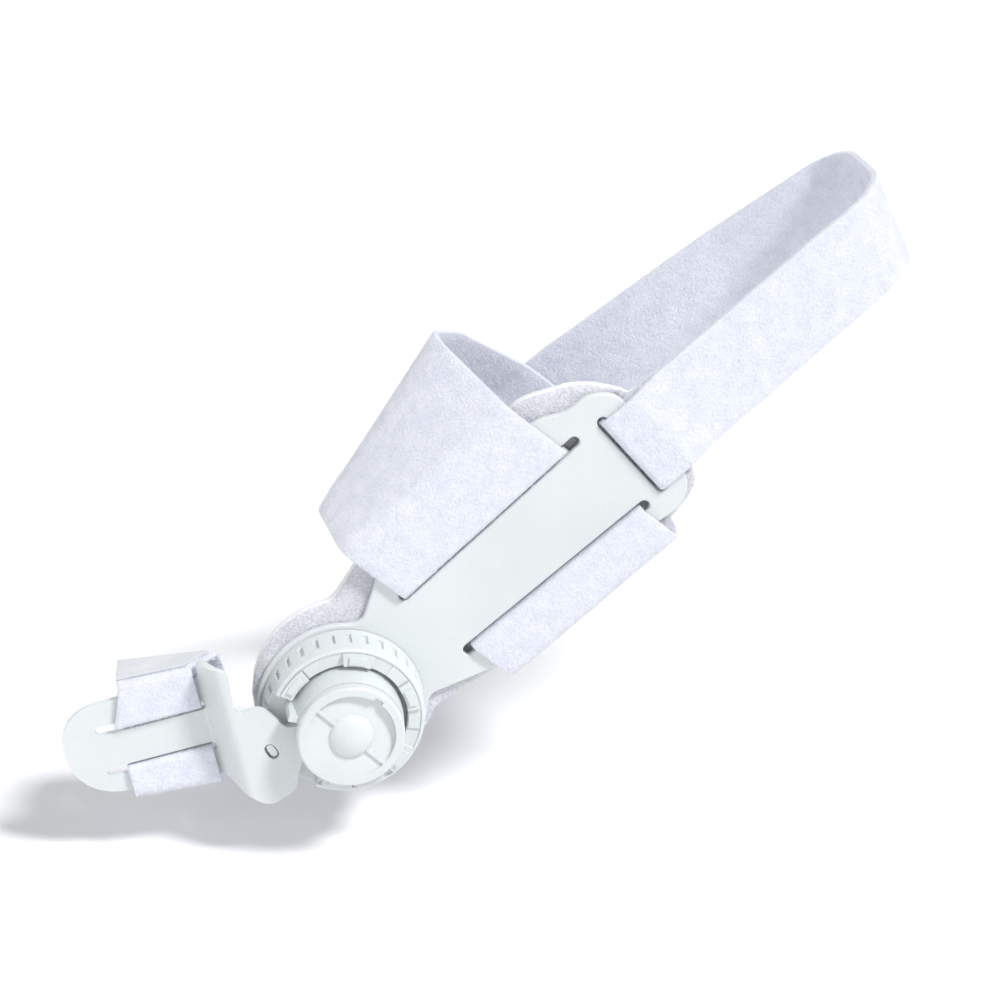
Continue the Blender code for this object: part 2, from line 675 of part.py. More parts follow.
def make_splint_arm():
    middle = (ARM_REACH - ARM_WIDTH / 2) / 2
    outline = obround(ARM_REACH + ARM_WIDTH / 2, ARM_WIDTH, middle * math.cos(PEG_ANGLE),
                      middle * math.sin(PEG_ANGLE), PEG_ANGLE)
    arm = prism("splint_arm", outline, splint_point, ARM_FRONT, ARM_BACK, PLASTIC)
    eye = round_hole(EYE_RADIUS)
    cut(arm, prism("arm_eye_cutter", eye, splint_point, ARM_FRONT, ARM_BACK), "UNION")
    x, z = peg_centre()
    nudge = PEG_PLAY * PEG_NUDGE
    peg = obround(PEG_LENGTH, PEG_WIDTH, x - nudge, z + nudge, PEG_TURN, PEG_STEPS)
    cut(arm, prism("arm_peg_cutter", peg, splint_point, LEAF_FRONT + GAP, ARM_FRONT + BOND), "UNION")
    hole = round_hole(POST_RADIUS + GAP)
    cut(arm, prism("arm_hole_cutter", hole, splint_point, ARM_FRONT - CUT, ARM_BACK + CUT))
    return arm


SPLINT_CORNERS = (
    # distance from the dial axis, then height, each as a share of the size named before it,
    # and the corner radius as a share of the paddle's top height
    ("neck", 0.05, "top", 0.10, 0.03),
    ("neck", 0.05, "leaf", -0.30, 0.03),
    ("neck", 0.47, "leaf", -0.42, 0.16),
    ("neck", 0.60, "leaf", -0.92, 0.22),
    ("neck", 0.85, "leaf", -1.08, 0.27),
    ("neck", 1.13, "leaf", -0.60, 0.20),
    ("reach", 1.000, "bottom", -0.77, 0.72),
    ("reach", 1.000, "top", 1.00, 0.58),
    ("bend", 1.01, "top", 1.02, 0.07),
    ("bend", 1.00, "ear", 1.00, 0.16),
    ("neck", 0.90, "ear", 1.00, 0.17),
    ("neck", 0.93, "ear", 0.42, 0.10),
    ("neck", 0.70, "ear", 0.45, 0.22),
    ("neck", 0.53, "top", 0.16, 0.14),
)


def splint_outline():
    lengths = {"neck": BEND_START, "reach": SPLINT_REACH, "bend": BEND_START + BEND_LENGTH}
    heights = {"top": PADDLE_TOP, "bottom": PADDLE_BOTTOM, "ear": EAR_TOP, "leaf": LEAF_DROP}
    corners = [(lengths[along] * share, heights[across] * rise, radius * PADDLE_TOP)
               for along, share, across, rise, radius in SPLINT_CORNERS]
    return [tuple(p) for p in rounded(corners)]


def make_toe_splint():
    leaf = (LEAF_FRONT + LEAF_BACK) / 2
    paddle = (PADDLE_FRONT + PADDLE_BACK) / 2
    corners = [(-CUT, leaf, 0.0), (BEND_START, leaf, BEND_RADIUS),
               (BEND_START + BEND_LENGTH, paddle, BEND_RADIUS), (SPLINT_REACH + CUT, paddle, 0.0)]
    path = rounded(corners, closed=False)
    edges = [[(across, p.x, p.y) for p in path] for across in (-2 * LEAF_DROP, 2 * EAR_TOP)]

    def place(across, along, y):
        return splint_point(along, across, y)

    splint = band("toe_splint", edges, place, SPLINT_THICKNESS, False, 1, PLASTIC)
    outline = prism("splint_outline_cutter", splint_outline(), splint_point,
                    LEAF_FRONT - CUT, PADDLE_BACK + CUT)
    cut(splint, outline, "INTERSECT")
    eye = prism("splint_eye_cutter", round_hole(EYE_RADIUS), splint_point, LEAF_FRONT, LEAF_BACK)
    cut(splint, eye, "UNION")
    bm = bmesh.new()
    start = BEND_START + BEND_LENGTH + TOE_SLOT_FROM_BEND
    length = TOE_STRAP_WIDTH + TOE_SLOT_ROOM
    for height in (TOE_SLOT_TOP, -TOE_SLOT_BOTTOM):
        slot = obround(length, TOE_SLOT_WIDTH, start + length / 2, height, 0.0)
        add_prism(bm, slot, splint_point, PADDLE_FRONT - CUT, PADDLE_BACK + CUT)
    x, z = peg_centre()
    hole = obround(PEG_LENGTH + 2 * PEG_PLAY, PEG_WIDTH + 2 * PEG_PLAY, x, z, PEG_TURN, PEG_STEPS)
    for shape in (hole, round_hole(POST_RADIUS + GAP)):
        add_prism(bm, shape, splint_point, LEAF_FRONT - CUT, LEAF_BACK + CUT)
    cut(splint, make_object("splint_holes_cutter", bm))
    soften(splint, SPLINT_EDGE)
    return splint


# Toe strap

TOE_CORNERS = (
    # level across the splint, its share at the dial-side and at the toe-side edge, depth as a
    # share of the toe loop's, shift of each edge as a share of the strap's width, and the
    # corner radius as a share of the loop's depth
    ("bottom_slot", 1.00, 1.00, "inside", 0.00, 0.00, 0.04),
    ("top_slot", 1.00, 1.00, "inside", 0.00, 0.00, 0.04),
    ("top_slot", 1.00, 1.00, "outside", 0.00, 0.00, 0.04),
    ("top", 1.20, 1.24, "outside", 0.00, -0.15, 0.05),
    ("top", 0.95, 1.19, 0.56, -0.31, -0.18, 0.19),
    ("top", 0.55, 0.82, 1.00, -0.31, -0.18, 0.23),
    ("bottom", 0.46, 0.12, 1.00, -0.18, -0.09, 0.23),
    ("bottom", 1.19, 0.95, 0.56, -0.04, 0.00, 0.19),
    ("bottom", 1.40, 1.14, "outside", 0.00, 0.00, 0.08),
    ("bottom_slot", 1.00, 1.00, "outside", 0.00, 0.00, 0.04),
)
POINTS_PER_CORNER = BAND_STEPS + 1 + BAND_STRAIGHT_COUNT
TAB_CORNER = 3                      # the row whose bend the hook tab starts behind
TAB_SHARES = (0.74, 0.80, 0.86, 0.90, 0.93)


def toe_edge(side, start):
    """One edge of the toe strap: side 0 is next to the dial, side 1 next to the toe tip."""
    heights = {"bottom_slot": -TOE_SLOT_BOTTOM, "top_slot": TOE_SLOT_TOP,
               "top": PADDLE_TOP, "bottom": -PADDLE_BOTTOM}
    depths = {"inside": TOE_INSIDE, "outside": TOE_OUTSIDE}
    corners, shifts = [], []
    for row in TOE_CORNERS:
        depth = depths.get(row[3])
        if depth is None:
            depth = TOE_OUTSIDE + row[3] * TOE_LOOP_DEPTH
        corners.append((heights[row[0]] * row[1 + side], depth, row[6] * TOE_LOOP_DEPTH))
        shifts.append(row[4 + side] * TOE_STRAP_WIDTH)
    path = rounded(corners, steps=BAND_STEPS, between=BAND_STRAIGHT_COUNT)
    points = []
    for i, p in enumerate(path):
        corner, step = divmod(i, POINTS_PER_CORNER)
        share = max(0, step - BAND_STEPS) / (BAND_STRAIGHT_COUNT + 1)
        shift = shifts[corner] * (1 - share) + shifts[(corner + 1) % len(shifts)] * share
        points.append((start + shift, p.x, p.y))
    return points


def toe_edges():
    start = BEND_START + BEND_LENGTH + TOE_STRAP_FROM_BEND
    return toe_edge(0, start), toe_edge(1, start + TOE_STRAP_WIDTH)


def make_toe_strap():
    return band("toe_strap", toe_edges(), splint_point, TOE_STRAP_THICKNESS, True, 3, CLOTH)


def make_toe_hook_tab():
    """The tab lies on the strap's top, from the fold rearwards, with a slanting end."""
    lift = (TOE_STRAP_THICKNESS + HOOK_TAB_THICKNESS) / 2 + GAP
    raised = []
    for edge in toe_edges():
        path = [Vector(point[1:]) for point in edge]
        normals = path_normals(path, True)
        raised.append([(point[0], *(p + n * lift))
                       for point, p, n in zip(edge, path, normals)])
    first = TAB_CORNER * POINTS_PER_CORNER + BAND_STEPS
    near, far = (side[first:first + len(TAB_SHARES)] for side in raised)
    slanted = [tuple(f + (n - f) * share for n, f in zip(a, b))
               for a, b, share in zip(near, far, TAB_SHARES)]
    return band("toe_hook_tab", (slanted, far), splint_point, HOOK_TAB_THICKNESS, False, 3, HOOK)


# Midfoot strap

MIDFOOT_CORNERS = (
    # level, height above or below it as a share of the instep rise or of the sole drop, depth as
    # a share of the foot's width, and the bend's radius in strap thicknesses
    ("low_slot", 0.0, "inside", 0.8),
    ("high_slot", 0.0, "inside", 0.8),
    ("high_slot", 0.0, "outside", 0.8),
    ("high_edge", 0.0, "outside", 4.0),
    ("high_slot", 1.00, 0.27, 8.5),
    ("high_slot", 0.62, 0.66, 13.0),
    ("high_slot", -0.10, 1.00, 8.5),
    ("low_slot", 0.55, 1.00, 6.5),
    ("low_slot", 1.12, 0.80, 6.5),
    ("low_slot", 1.12, 0.14, 6.5),
    ("low_edge", 0.0, "outside", 2.2),
    ("low_slot", 0.0, "outside", 0.8),
)


def midfoot_edge(start, gauge, rise, width):
    clear = 2 * GAP + STRAP_THICKNESS / 2
    edges = [PAD_HALF_WIDTH * row[1] for row in PAD_CORNERS]
    levels = {"high_slot": gauge, "low_slot": -gauge,
              "high_edge": max(edges) + clear, "low_edge": min(edges) - clear}
    depths = {"inside": STRAP_INSIDE, "outside": STRAP_OUTSIDE}
    corners = []
    for level, share, depth, bend in MIDFOOT_CORNERS:
        across = levels[level] + share * (rise if levels[level] > 0 else -SOLE_DROP)
        y = depths.get(depth)
        if y is None:
            y = STRAP_OUTSIDE + depth * width
        corners.append((across, y, bend * STRAP_THICKNESS))
    path = rounded(corners, steps=BAND_STEPS, between=BAND_STRAIGHT_COUNT)
    return [(start - MIDFOOT_LEAN * (p.x - gauge), p.x, p.y) for p in path]


def make_midfoot_strap():
    front = midfoot_edge(MIDFOOT_START, SLOT_GAUGE_FRONT, INSTEP_RISE_FRONT, FOOT_WIDTH_FRONT)
    rear = midfoot_edge(MIDFOOT_START + MIDFOOT_WIDTH, SLOT_GAUGE_REAR, INSTEP_RISE_REAR,
                        FOOT_WIDTH_REAR)
    return band("midfoot_strap", (front, rear), plate_point, STRAP_THICKNESS, True, 2, CLOTH)


# Heel strap

HEEL_CORNERS = (
    # share of the heel reach, across as a share of the strap's width, depth as a share of the
    # foot's width, lean of the strap's width towards the heel, bend radius as a share of its width
    (0.864, -0.12, 0.122, 0.14, 1.60),
    (1.000, -0.24, 0.215, 0.30, 0.62),
    (1.000, -0.32, 0.780, 0.30, 0.62),
    (0.785, -0.24, 0.930, 0.10, 1.60),
)


def outer_side(u):
    """Middle of a strap that lies on the midfoot strap's outer side, u along the plate."""
    front = MIDFOOT_START + 2 * MIDFOOT_LEAN * SLOT_GAUGE_FRONT
    share = (u - front) / MIDFOOT_WIDTH
    y = STRAP_OUTSIDE + FOOT_WIDTH_FRONT + (FOOT_WIDTH_REAR - FOOT_WIDTH_FRONT) * share
    return y + STRAP_THICKNESS + 2 * GAP


HEEL_THREADING = (
    # where it lies along the plate and in depth, and the bend's radius in strap thicknesses
    ("tail", "inside", 0.0),
    ("slot", "inside", 0.8),
    ("slot", "outside", 0.8),
    ("end", "outside", 3.2),
    ("tail", "on_tail", 6.4),
)


def heel_path():
    slot = PLATE_LENGTH - HEEL_SLOT_FROM_END
    places = {"slot": slot, "tail": slot + HEEL_TAIL, "end": PLATE_LENGTH + HEEL_LEAVES_PLATE}
    depths = {"inside": STRAP_INSIDE, "outside": STRAP_OUTSIDE,
              "on_tail": STRAP_INSIDE - STRAP_THICKNESS - 1.5 * GAP}
    corners = [(places[along], 0.0, depths[depth], 0.0, bend * STRAP_THICKNESS)
               for along, depth, bend in HEEL_THREADING]
    for reach, across, depth, lean, bend in HEEL_CORNERS:
        corners.append((reach * HEEL_REACH, across * HEEL_STRAP_WIDTH,
                        STRAP_OUTSIDE + depth * FOOT_WIDTH_REAR, lean, bend * HEEL_STRAP_WIDTH))
    rear = MIDFOOT_START + MIDFOOT_WIDTH + MIDFOOT_LEAN * SLOT_GAUGE_REAR
    drop = -HEEL_OUTER_DROP * HEEL_STRAP_WIDTH
    for u, bend in ((rear + HEEL_TO_MIDFOOT, HEEL_STRAP_WIDTH), (rear - HEEL_END_OVERLAP, 0.0)):
        corners.append((u, drop, outer_side(u), 0.0, bend))
    points = rounded([(u, v, y, bend) for u, v, y, _, bend in corners], closed=False)
    leans = [corners[0][3]]
    for corner in corners[1:-1]:
        leans += [corner[3]] * (ARC_STEPS + 1)
    return points, leans + [corners[-1][3]]


def make_heel_strap():
    points, leans = heel_path()
    bm = bmesh.new()
    rings = []
    for i, (point, lean) in enumerate(zip(points, leans)):
        along = (points[min(i + 1, len(points) - 1)] - points[max(i - 1, 0)]).normalized()
        across = Vector((lean, 1.0, 0.0))
        across = (across - along * across.dot(along)).normalized()
        normal = along.cross(across)
        ring = []
        for side, face in ((-1, -1), (1, -1), (1, 1), (-1, 1)):
            corner = point + across * side * HEEL_STRAP_WIDTH / 2
            corner += normal * face * STRAP_THICKNESS / 2
            ring.append(bm.verts.new(plate_point(*corner)))
        rings.append(ring)
    for near, far in zip(rings, rings[1:]):
        for k in range(4):
            m = (k + 1) % 4
            bm.faces.new((near[k], near[m], far[m], far[k]))
    bm.faces.new(rings[0])
    bm.faces.new(rings[-1][::-1])
    return make_object("heel_strap", bm, CLOTH)


def build():
    make_foot_plate()
    make_foam_pad()
    make_dial_base()
    make_click_ring()
    make_dial_collar()
    make_knob()
    make_splint_arm()
    make_toe_splint()
    make_toe_strap()
    make_toe_hook_tab()
    make_midfoot_strap()
    make_heel_strap()


build()
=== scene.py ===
# %% [markdown]
# # A bunion corrector, dressed for its picture
# The corrector is a padded plate that lies along the inner side of a foot. A dial sits over the big
# toe's base joint, a splint turns on the dial and draws the toe straight, and three straps of brushed
# loop fabric hold it all on. The solid model is loaded as a fixed frame, which is never moved. This
# script gives it its looks: rounded moulded edges, straps with a real nap, felt, and soft light.

# %% Load the frame
import math

import bmesh
import bpy
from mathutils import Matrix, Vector, noise


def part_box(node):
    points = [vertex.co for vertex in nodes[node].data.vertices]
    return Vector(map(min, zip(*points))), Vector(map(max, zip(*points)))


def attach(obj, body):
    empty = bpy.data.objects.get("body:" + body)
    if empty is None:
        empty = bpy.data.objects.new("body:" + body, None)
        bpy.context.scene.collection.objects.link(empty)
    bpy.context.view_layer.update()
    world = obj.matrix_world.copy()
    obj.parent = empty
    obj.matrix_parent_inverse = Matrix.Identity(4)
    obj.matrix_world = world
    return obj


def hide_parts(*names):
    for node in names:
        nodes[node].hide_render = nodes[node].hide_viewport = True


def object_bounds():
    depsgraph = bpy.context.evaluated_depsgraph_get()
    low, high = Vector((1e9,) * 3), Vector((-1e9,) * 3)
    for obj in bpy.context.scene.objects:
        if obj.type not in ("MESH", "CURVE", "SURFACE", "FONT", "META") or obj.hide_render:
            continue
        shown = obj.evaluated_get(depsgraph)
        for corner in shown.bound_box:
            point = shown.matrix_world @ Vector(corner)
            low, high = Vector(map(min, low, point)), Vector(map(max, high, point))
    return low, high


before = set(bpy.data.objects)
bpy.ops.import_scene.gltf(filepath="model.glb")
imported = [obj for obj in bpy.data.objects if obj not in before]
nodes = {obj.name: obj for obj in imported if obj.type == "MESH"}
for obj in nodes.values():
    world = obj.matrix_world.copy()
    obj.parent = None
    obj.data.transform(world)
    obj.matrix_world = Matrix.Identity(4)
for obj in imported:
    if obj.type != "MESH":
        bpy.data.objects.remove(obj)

solid_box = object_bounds()
MM = 0.001
print("solids:", ", ".join(sorted(nodes)))

# %% [markdown]
# ## Camera
# The picture looks down on the plate's side from a little towards the toes. A long lens keeps the
# circles of the dial nearly true, as in a catalogue picture. The camera is placed by two angles and
# a distance from the point that it looks at, so each can be changed by itself.

# %% Camera
CAMERA_TARGET = Vector((43.7, 6.6, 49.6)) * MM
CAMERA_AZIMUTH = math.radians(-9)
CAMERA_ELEVATION = math.radians(21.5)
CAMERA_DISTANCE = 750 * MM
CAMERA_LENS = 103.0

back = Vector((math.sin(CAMERA_AZIMUTH) * math.cos(CAMERA_ELEVATION),
               -math.cos(CAMERA_AZIMUTH) * math.cos(CAMERA_ELEVATION),
               math.sin(CAMERA_ELEVATION)))
camera = bpy.data.objects.new("camera", bpy.data.cameras.new("camera"))
bpy.context.scene.collection.objects.link(camera)
camera.location = CAMERA_TARGET + back * CAMERA_DISTANCE
camera.rotation_euler = (-back).to_track_quat("-Z", "Y").to_euler()
camera.data.lens = CAMERA_LENS
camera.data.sensor_width = 36.0
camera.data.clip_start = 0.05
bpy.context.scene.camera = camera
print("camera at", [round(v, 3) for v in camera.location])

# %% [markdown]
# ## Building node trees by hand
# Shader trees and geometry trees are both built from nodes and links. One small helper adds a node,
# sets its options and feeds its sockets, so that each tree below reads as a list of its steps.

# %% Node helpers
def add(tree, kind, inputs=None, **options):
    """One node. inputs maps a socket's name or number to a value, or to the socket that feeds it."""
    made = tree.nodes.new(kind)
    for key, value in options.items():
        setattr(made, key, value)
    for key, value in (inputs or {}).items():
        if isinstance(value, bpy.types.NodeSocket):
            tree.links.new(value, made.inputs[key])
        else:
            made.inputs[key].default_value = value
    return made


def new_tree(name, kind, inputs, outputs):
    """A group with named inputs (name, socket type, value) and outputs (name, socket type)."""
    tree = bpy.data.node_groups.new(name, kind)
    for label, socket_type, value in inputs:
        socket = tree.interface.new_socket(label, in_out="INPUT", socket_type=socket_type)
        if value is not None:
            socket.default_value = value
    for label, socket_type in outputs:
        tree.interface.new_socket(label, in_out="OUTPUT", socket_type=socket_type)
    return tree, tree.nodes.new("NodeGroupInput"), tree.nodes.new("NodeGroupOutput")


# %% [markdown]
# ## Mottle, an effect that every finish shares
# No real surface has one flat colour. Moulded plastic has a faint cloudiness and a fine grain, loop
# fabric has tufts, felt has dark and light fibres. All are noise at two sizes, so one shader group
# makes them, and each material gives it its own sizes and colours.

# %% Mottle group
def mottle_group():
    tree, given, result = new_tree("mottle", "ShaderNodeTree", [
        ("Vector", "NodeSocketVector", None),
        ("Cloud Scale", "NodeSocketFloat", 60.0),
        ("Grain Scale", "NodeSocketFloat", 1500.0),
        ("Grain Share", "NodeSocketFloat", 0.5),
        ("Dark", "NodeSocketColor", (0.7, 0.7, 0.7, 1.0)),
        ("Light", "NodeSocketColor", (0.9, 0.9, 0.9, 1.0)),
    ], [("Color", "NodeSocketColor"), ("Mask", "NodeSocketFloat"), ("Height", "NodeSocketFloat")])
    cloud = add(tree, "ShaderNodeTexNoise", {
        "Vector": given.outputs["Vector"], "Scale": given.outputs["Cloud Scale"], "Detail": 3.0})
    grain = add(tree, "ShaderNodeTexNoise", {
        "Vector": given.outputs["Vector"], "Scale": given.outputs["Grain Scale"],
        "Detail": 5.0, "Roughness": 0.65})
    both = add(tree, "ShaderNodeMix", {
        0: given.outputs["Grain Share"], 2: cloud.outputs["Fac"], 3: grain.outputs["Fac"]})
    mask = add(tree, "ShaderNodeMapRange", {
        "Value": both.outputs[0], "From Min": 0.36, "From Max": 0.64}, clamp=True)
    colour = add(tree, "ShaderNodeMix", {
        0: mask.outputs["Result"], 6: given.outputs["Dark"], 7: given.outputs["Light"]},
        data_type="RGBA")
    tree.links.new(colour.outputs[2], result.inputs["Color"])
    tree.links.new(mask.outputs["Result"], result.inputs["Mask"])
    tree.links.new(grain.outputs["Fac"], result.inputs["Height"])
    return tree


MOTTLE = mottle_group()
print("shader group:", MOTTLE.name)

# %% [markdown]
# ## Finishes
# Each finish is a Principled BSDF. The mottle group feeds its colour, its roughness and the height
# of a Bump node. What is the same all over, such as sheen, is set on the shader's own socket.

# %% One function for all finishes
def finish(name, dark, light, cloud, grain, share, roughness, bump, depth, **fixed):
    """A material between two colours.

    cloud and grain are the sizes of the two mottles and share is the grain's part in the mix.
    roughness is a range, and bump and depth are the relief's strength and height.
    """
    material = bpy.data.materials.new(name)
    material.use_nodes = True
    tree = material.node_tree
    shader = tree.nodes["Principled BSDF"]
    for key, value in fixed.items():
        shader.inputs[key.replace("_", " ")].default_value = value
    place = add(tree, "ShaderNodeTexCoord")
    mottle = add(tree, "ShaderNodeGroup", {}, node_tree=MOTTLE)
    tree.links.new(place.outputs["Object"], mottle.inputs["Vector"])
    mottle.inputs["Cloud Scale"].default_value = 1 / cloud
    mottle.inputs["Grain Scale"].default_value = 1 / grain
    mottle.inputs["Grain Share"].default_value = share
    mottle.inputs["Dark"].default_value = (*dark, 1.0)
    mottle.inputs["Light"].default_value = (*light, 1.0)
    gloss = add(tree, "ShaderNodeMapRange", {
        "Value": mottle.outputs["Mask"], "To Min": roughness[0], "To Max": roughness[1]})
    relief = add(tree, "ShaderNodeBump", {
        "Strength": bump, "Distance": depth, "Height": mottle.outputs["Height"]})
    tree.links.new(mottle.outputs["Color"], shader.inputs["Base Color"])
    tree.links.new(gloss.outputs["Result"], shader.inputs["Roughness"])
    tree.links.new(relief.outputs["Normal"], shader.inputs["Normal"])
    return material


# %% The finishes of the corrector
PLASTIC = finish("moulded_plastic", dark=(0.68, 0.715, 0.72), light=(0.74, 0.775, 0.78),
                 cloud=30 * MM, grain=0.9 * MM, share=0.35, roughness=(0.30, 0.42),
                 bump=0.10, depth=0.05 * MM, IOR=1.5, Subsurface_Weight=0.06,
                 Subsurface_Radius=(1.0, 1.0, 1.0), Subsurface_Scale=0.5 * MM)
LOOP = finish("loop_fabric", dark=(0.74, 0.76, 0.86), light=(0.89, 0.905, 0.98),
              cloud=4 * MM, grain=0.7 * MM, share=0.6, roughness=(0.88, 1.0),
              bump=1.0, depth=0.5 * MM, Sheen_Weight=0.3, Sheen_Roughness=0.5)
NAP = finish("loop_nap", dark=(0.81, 0.835, 0.92), light=(0.95, 0.965, 1.0),
             cloud=4 * MM, grain=1.0 * MM, share=0.5, roughness=(0.85, 0.95),
             bump=0.1, depth=0.05 * MM, Sheen_Weight=0.3)
FELT = finish("pad_felt", dark=(0.56, 0.56, 0.62), light=(0.86, 0.86, 0.91),
              cloud=4 * MM, grain=0.6 * MM, share=0.75, roughness=(0.9, 1.0),
              bump=0.9, depth=0.4 * MM, Sheen_Weight=0.2)
FELT_NAP = finish("felt_nap", dark=(0.65, 0.65, 0.70), light=(0.95, 0.95, 0.99),
                  cloud=5 * MM, grain=0.6 * MM, share=0.8, roughness=(0.9, 1.0),
                  bump=0.1, depth=0.05 * MM)
FOAM = finish("foam_edge", dark=(0.84, 0.84, 0.86), light=(0.93, 0.93, 0.94),
              cloud=3 * MM, grain=0.4 * MM, share=0.6, roughness=(0.8, 0.95),
              bump=0.4, depth=0.15 * MM)
HOOK = finish("hook_tape", dark=(0.58, 0.61, 0.63), light=(0.70, 0.72, 0.74),
              cloud=9 * MM, grain=0.5 * MM, share=0.4, roughness=(0.42, 0.58),
              bump=0.25, depth=0.1 * MM)
print("finishes:", ", ".join(m.name for m in bpy.data.materials if m.use_nodes))

# %% [markdown]
# ## Moulded pieces
# The plate, the dial and the splint are injection mouldings, and no moulding has a knife edge: a
# small radius catches the light along every rim. Each solid is copied, its triangles are merged
# back into whole faces, and a Bevel modifier rounds the edges that are really edges.

# %% Copy a solid with rounded edges
WELD = 0.002 * MM
FLAT_WITHIN = math.radians(0.5)
RIM_ANGLE = math.radians(32)
RIM_STEPS = 3


def whole_faces(name):
    """A bmesh of a solid with its doubled points merged and its flat triangles joined."""
    bm = bmesh.new()
    bm.from_mesh(nodes[name].data)
    bmesh.ops.remove_doubles(bm, verts=bm.verts, dist=WELD)
    bmesh.ops.dissolve_limit(bm, angle_limit=FLAT_WITHIN, verts=bm.verts, edges=bm.edges)
    return bm


def new_piece(name, mesh, materials, body):
    """A mesh as an object that rides on a body of the frame."""
    for material in materials:
        mesh.materials.append(material)
    piece = bpy.data.objects.new(name, mesh)
    bpy.context.scene.collection.objects.link(piece)
    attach(piece, body)
    return piece


def baked(piece):
    """Turns the piece's modifiers into plain mesh."""
    graph = bpy.context.evaluated_depsgraph_get()
    graph.update()
    mesh = bpy.data.meshes.new_from_object(piece.evaluated_get(graph))
    piece.modifiers.clear()
    piece.data = mesh
    return piece


def moulded(node, body, edge, swell):
    """The rounded copy. swell widens a piece round the dial's axis until it meets its seat."""
    bm = whole_faces(node)
    bmesh.ops.scale(bm, vec=(swell, 1.0, swell), verts=bm.verts)
    mesh = bpy.data.meshes.new(node + "_moulded")
    bm.to_mesh(mesh)
    bm.free()
    mesh.shade_smooth()
    piece = new_piece(node + "_moulded", mesh, [PLASTIC], body)
    bevel = piece.modifiers.new("rim", "BEVEL")
    bevel.width = edge
    bevel.segments = RIM_STEPS
    bevel.limit_method = "ANGLE"
    bevel.angle_limit = RIM_ANGLE
    bevel.use_clamp_overlap = True
    flats = piece.modifiers.new("flats", "WEIGHTED_NORMAL")
    flats.weight = 100
    flats.keep_sharp = True
    baked(piece)
    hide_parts(node)
    print(piece.name, len(piece.data.polygons), "faces")
    return piece


# %% The seven mouldings
MOULDINGS = (
    # solid, body, rim radius in millimetres, widening round the dial's axis
    ("foot_plate", "brace", 0.30, 1.0),
    ("dial_base", "brace", 0.16, 1.0),
    ("click_ring", "brace", 0.20, 1.015),
    ("dial_collar", "brace", 0.32, 1.0),
    ("knob", "knob", 0.22, 1.0),
    ("splint_arm", "splint", 0.20, 1.0),
    ("toe_splint", "splint", 0.30, 1.0),
)
for node, body, edge, swell in MOULDINGS:
    moulded(node, body, edge * MM, swell)

# %% [markdown]
# ## Where the straps run
# A strap is flat webbing that is bent round the foot and through slots. Its path is a row of corners,
# and each corner is rounded by an arc. The plate rises towards the heel and the splint falls towards
# the toe, so both have their own flat frame, and two small functions place its points in space.

# %% Frames and levels of the plate and the splint
GAP = 0.3 * MM
PLATE_SLOPE = math.radians(40.5)
SPLINT_SLOPE = math.radians(12)
SPLINT_THICKNESS = 1.8 * MM
STRAP_THICKNESS = 1.4 * MM
TOE_STRAP_THICKNESS = 1.2 * MM
PLATE_FRONT, PLATE_BACK = (corner.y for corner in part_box("foot_plate"))
PADDLE_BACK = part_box("toe_splint")[1].y
STRAP_INSIDE = PLATE_BACK + GAP + STRAP_THICKNESS / 2
STRAP_OUTSIDE = PLATE_FRONT - GAP - STRAP_THICKNESS / 2
TOE_INSIDE = PADDLE_BACK + GAP + TOE_STRAP_THICKNESS / 2
TOE_OUTSIDE = PADDLE_BACK - SPLINT_THICKNESS - GAP - TOE_STRAP_THICKNESS / 2


def plate_point(u, v, y):
    c, s = math.cos(PLATE_SLOPE), math.sin(PLATE_SLOPE)
    return Vector((u * c - v * s, y, u * s + v * c))


def splint_point(a, b, y):
    c, s = math.cos(SPLINT_SLOPE), math.sin(SPLINT_SLOPE)
    return Vector((-a * c - b * s, y, -a * s + b * c))


print("strap levels:", round(STRAP_INSIDE / MM, 2), "and", round(STRAP_OUTSIDE / MM, 2), "mm")

# %% Rounded paths
BEND_STEPS = 10
STRETCH_STEPS = 9
PER_CORNER = BEND_STEPS + 1 + STRETCH_STEPS


def rounded(corners, closed):
    """A path through corners (coordinates and a radius last), with arcs at the corners."""
    bends = []
    for i, corner in enumerate(corners):
        here = Vector(corner[:-1])
        if not closed and i in (0, len(corners) - 1):
            bends.append([here])
            continue
        before = Vector(corners[i - 1][:-1]) - here
        after = Vector(corners[(i + 1) % len(corners)][:-1]) - here
        half = before.angle(after) / 2
        reach = corner[-1] / math.tan(half)
        middle = (before.normalized() + after.normalized()).normalized()
        centre = here + middle * (corner[-1] / math.sin(half))
        first = here + before.normalized() * reach - centre
        last = here + after.normalized() * reach - centre
        sweep = first.angle(last)
        bends.append([
            centre + first * (math.sin((1 - k / BEND_STEPS) * sweep) / math.sin(sweep))
            + last * (math.sin(k / BEND_STEPS * sweep) / math.sin(sweep))
            for k in range(BEND_STEPS + 1)])
    points = []
    for i, bend in enumerate(bends):
        points += bend
        if closed or i < len(bends) - 1:
            start, end = bend[-1], bends[(i + 1) % len(bends)][0]
            points += [start.lerp(end, k / (STRETCH_STEPS + 1)) for k in range(1, STRETCH_STEPS + 1)]
    return points


# %% [markdown]
# ## From a path to webbing
# The strap is first a single layer of faces between its two edges, with a UV map that runs along
# and across it. Solidify gives it its thickness and a Bevel rounds its cut edges. A slow, small
# unevenness keeps it from looking like sheet metal.

# %% Webbing from two edges
ACROSS = 16
WAVES_PER_METRE = 70
CUT_EDGE_SHARE = 0.3
CUT_EDGE_ANGLE = math.radians(60)
STRAP_WAVE = 0.12 * MM


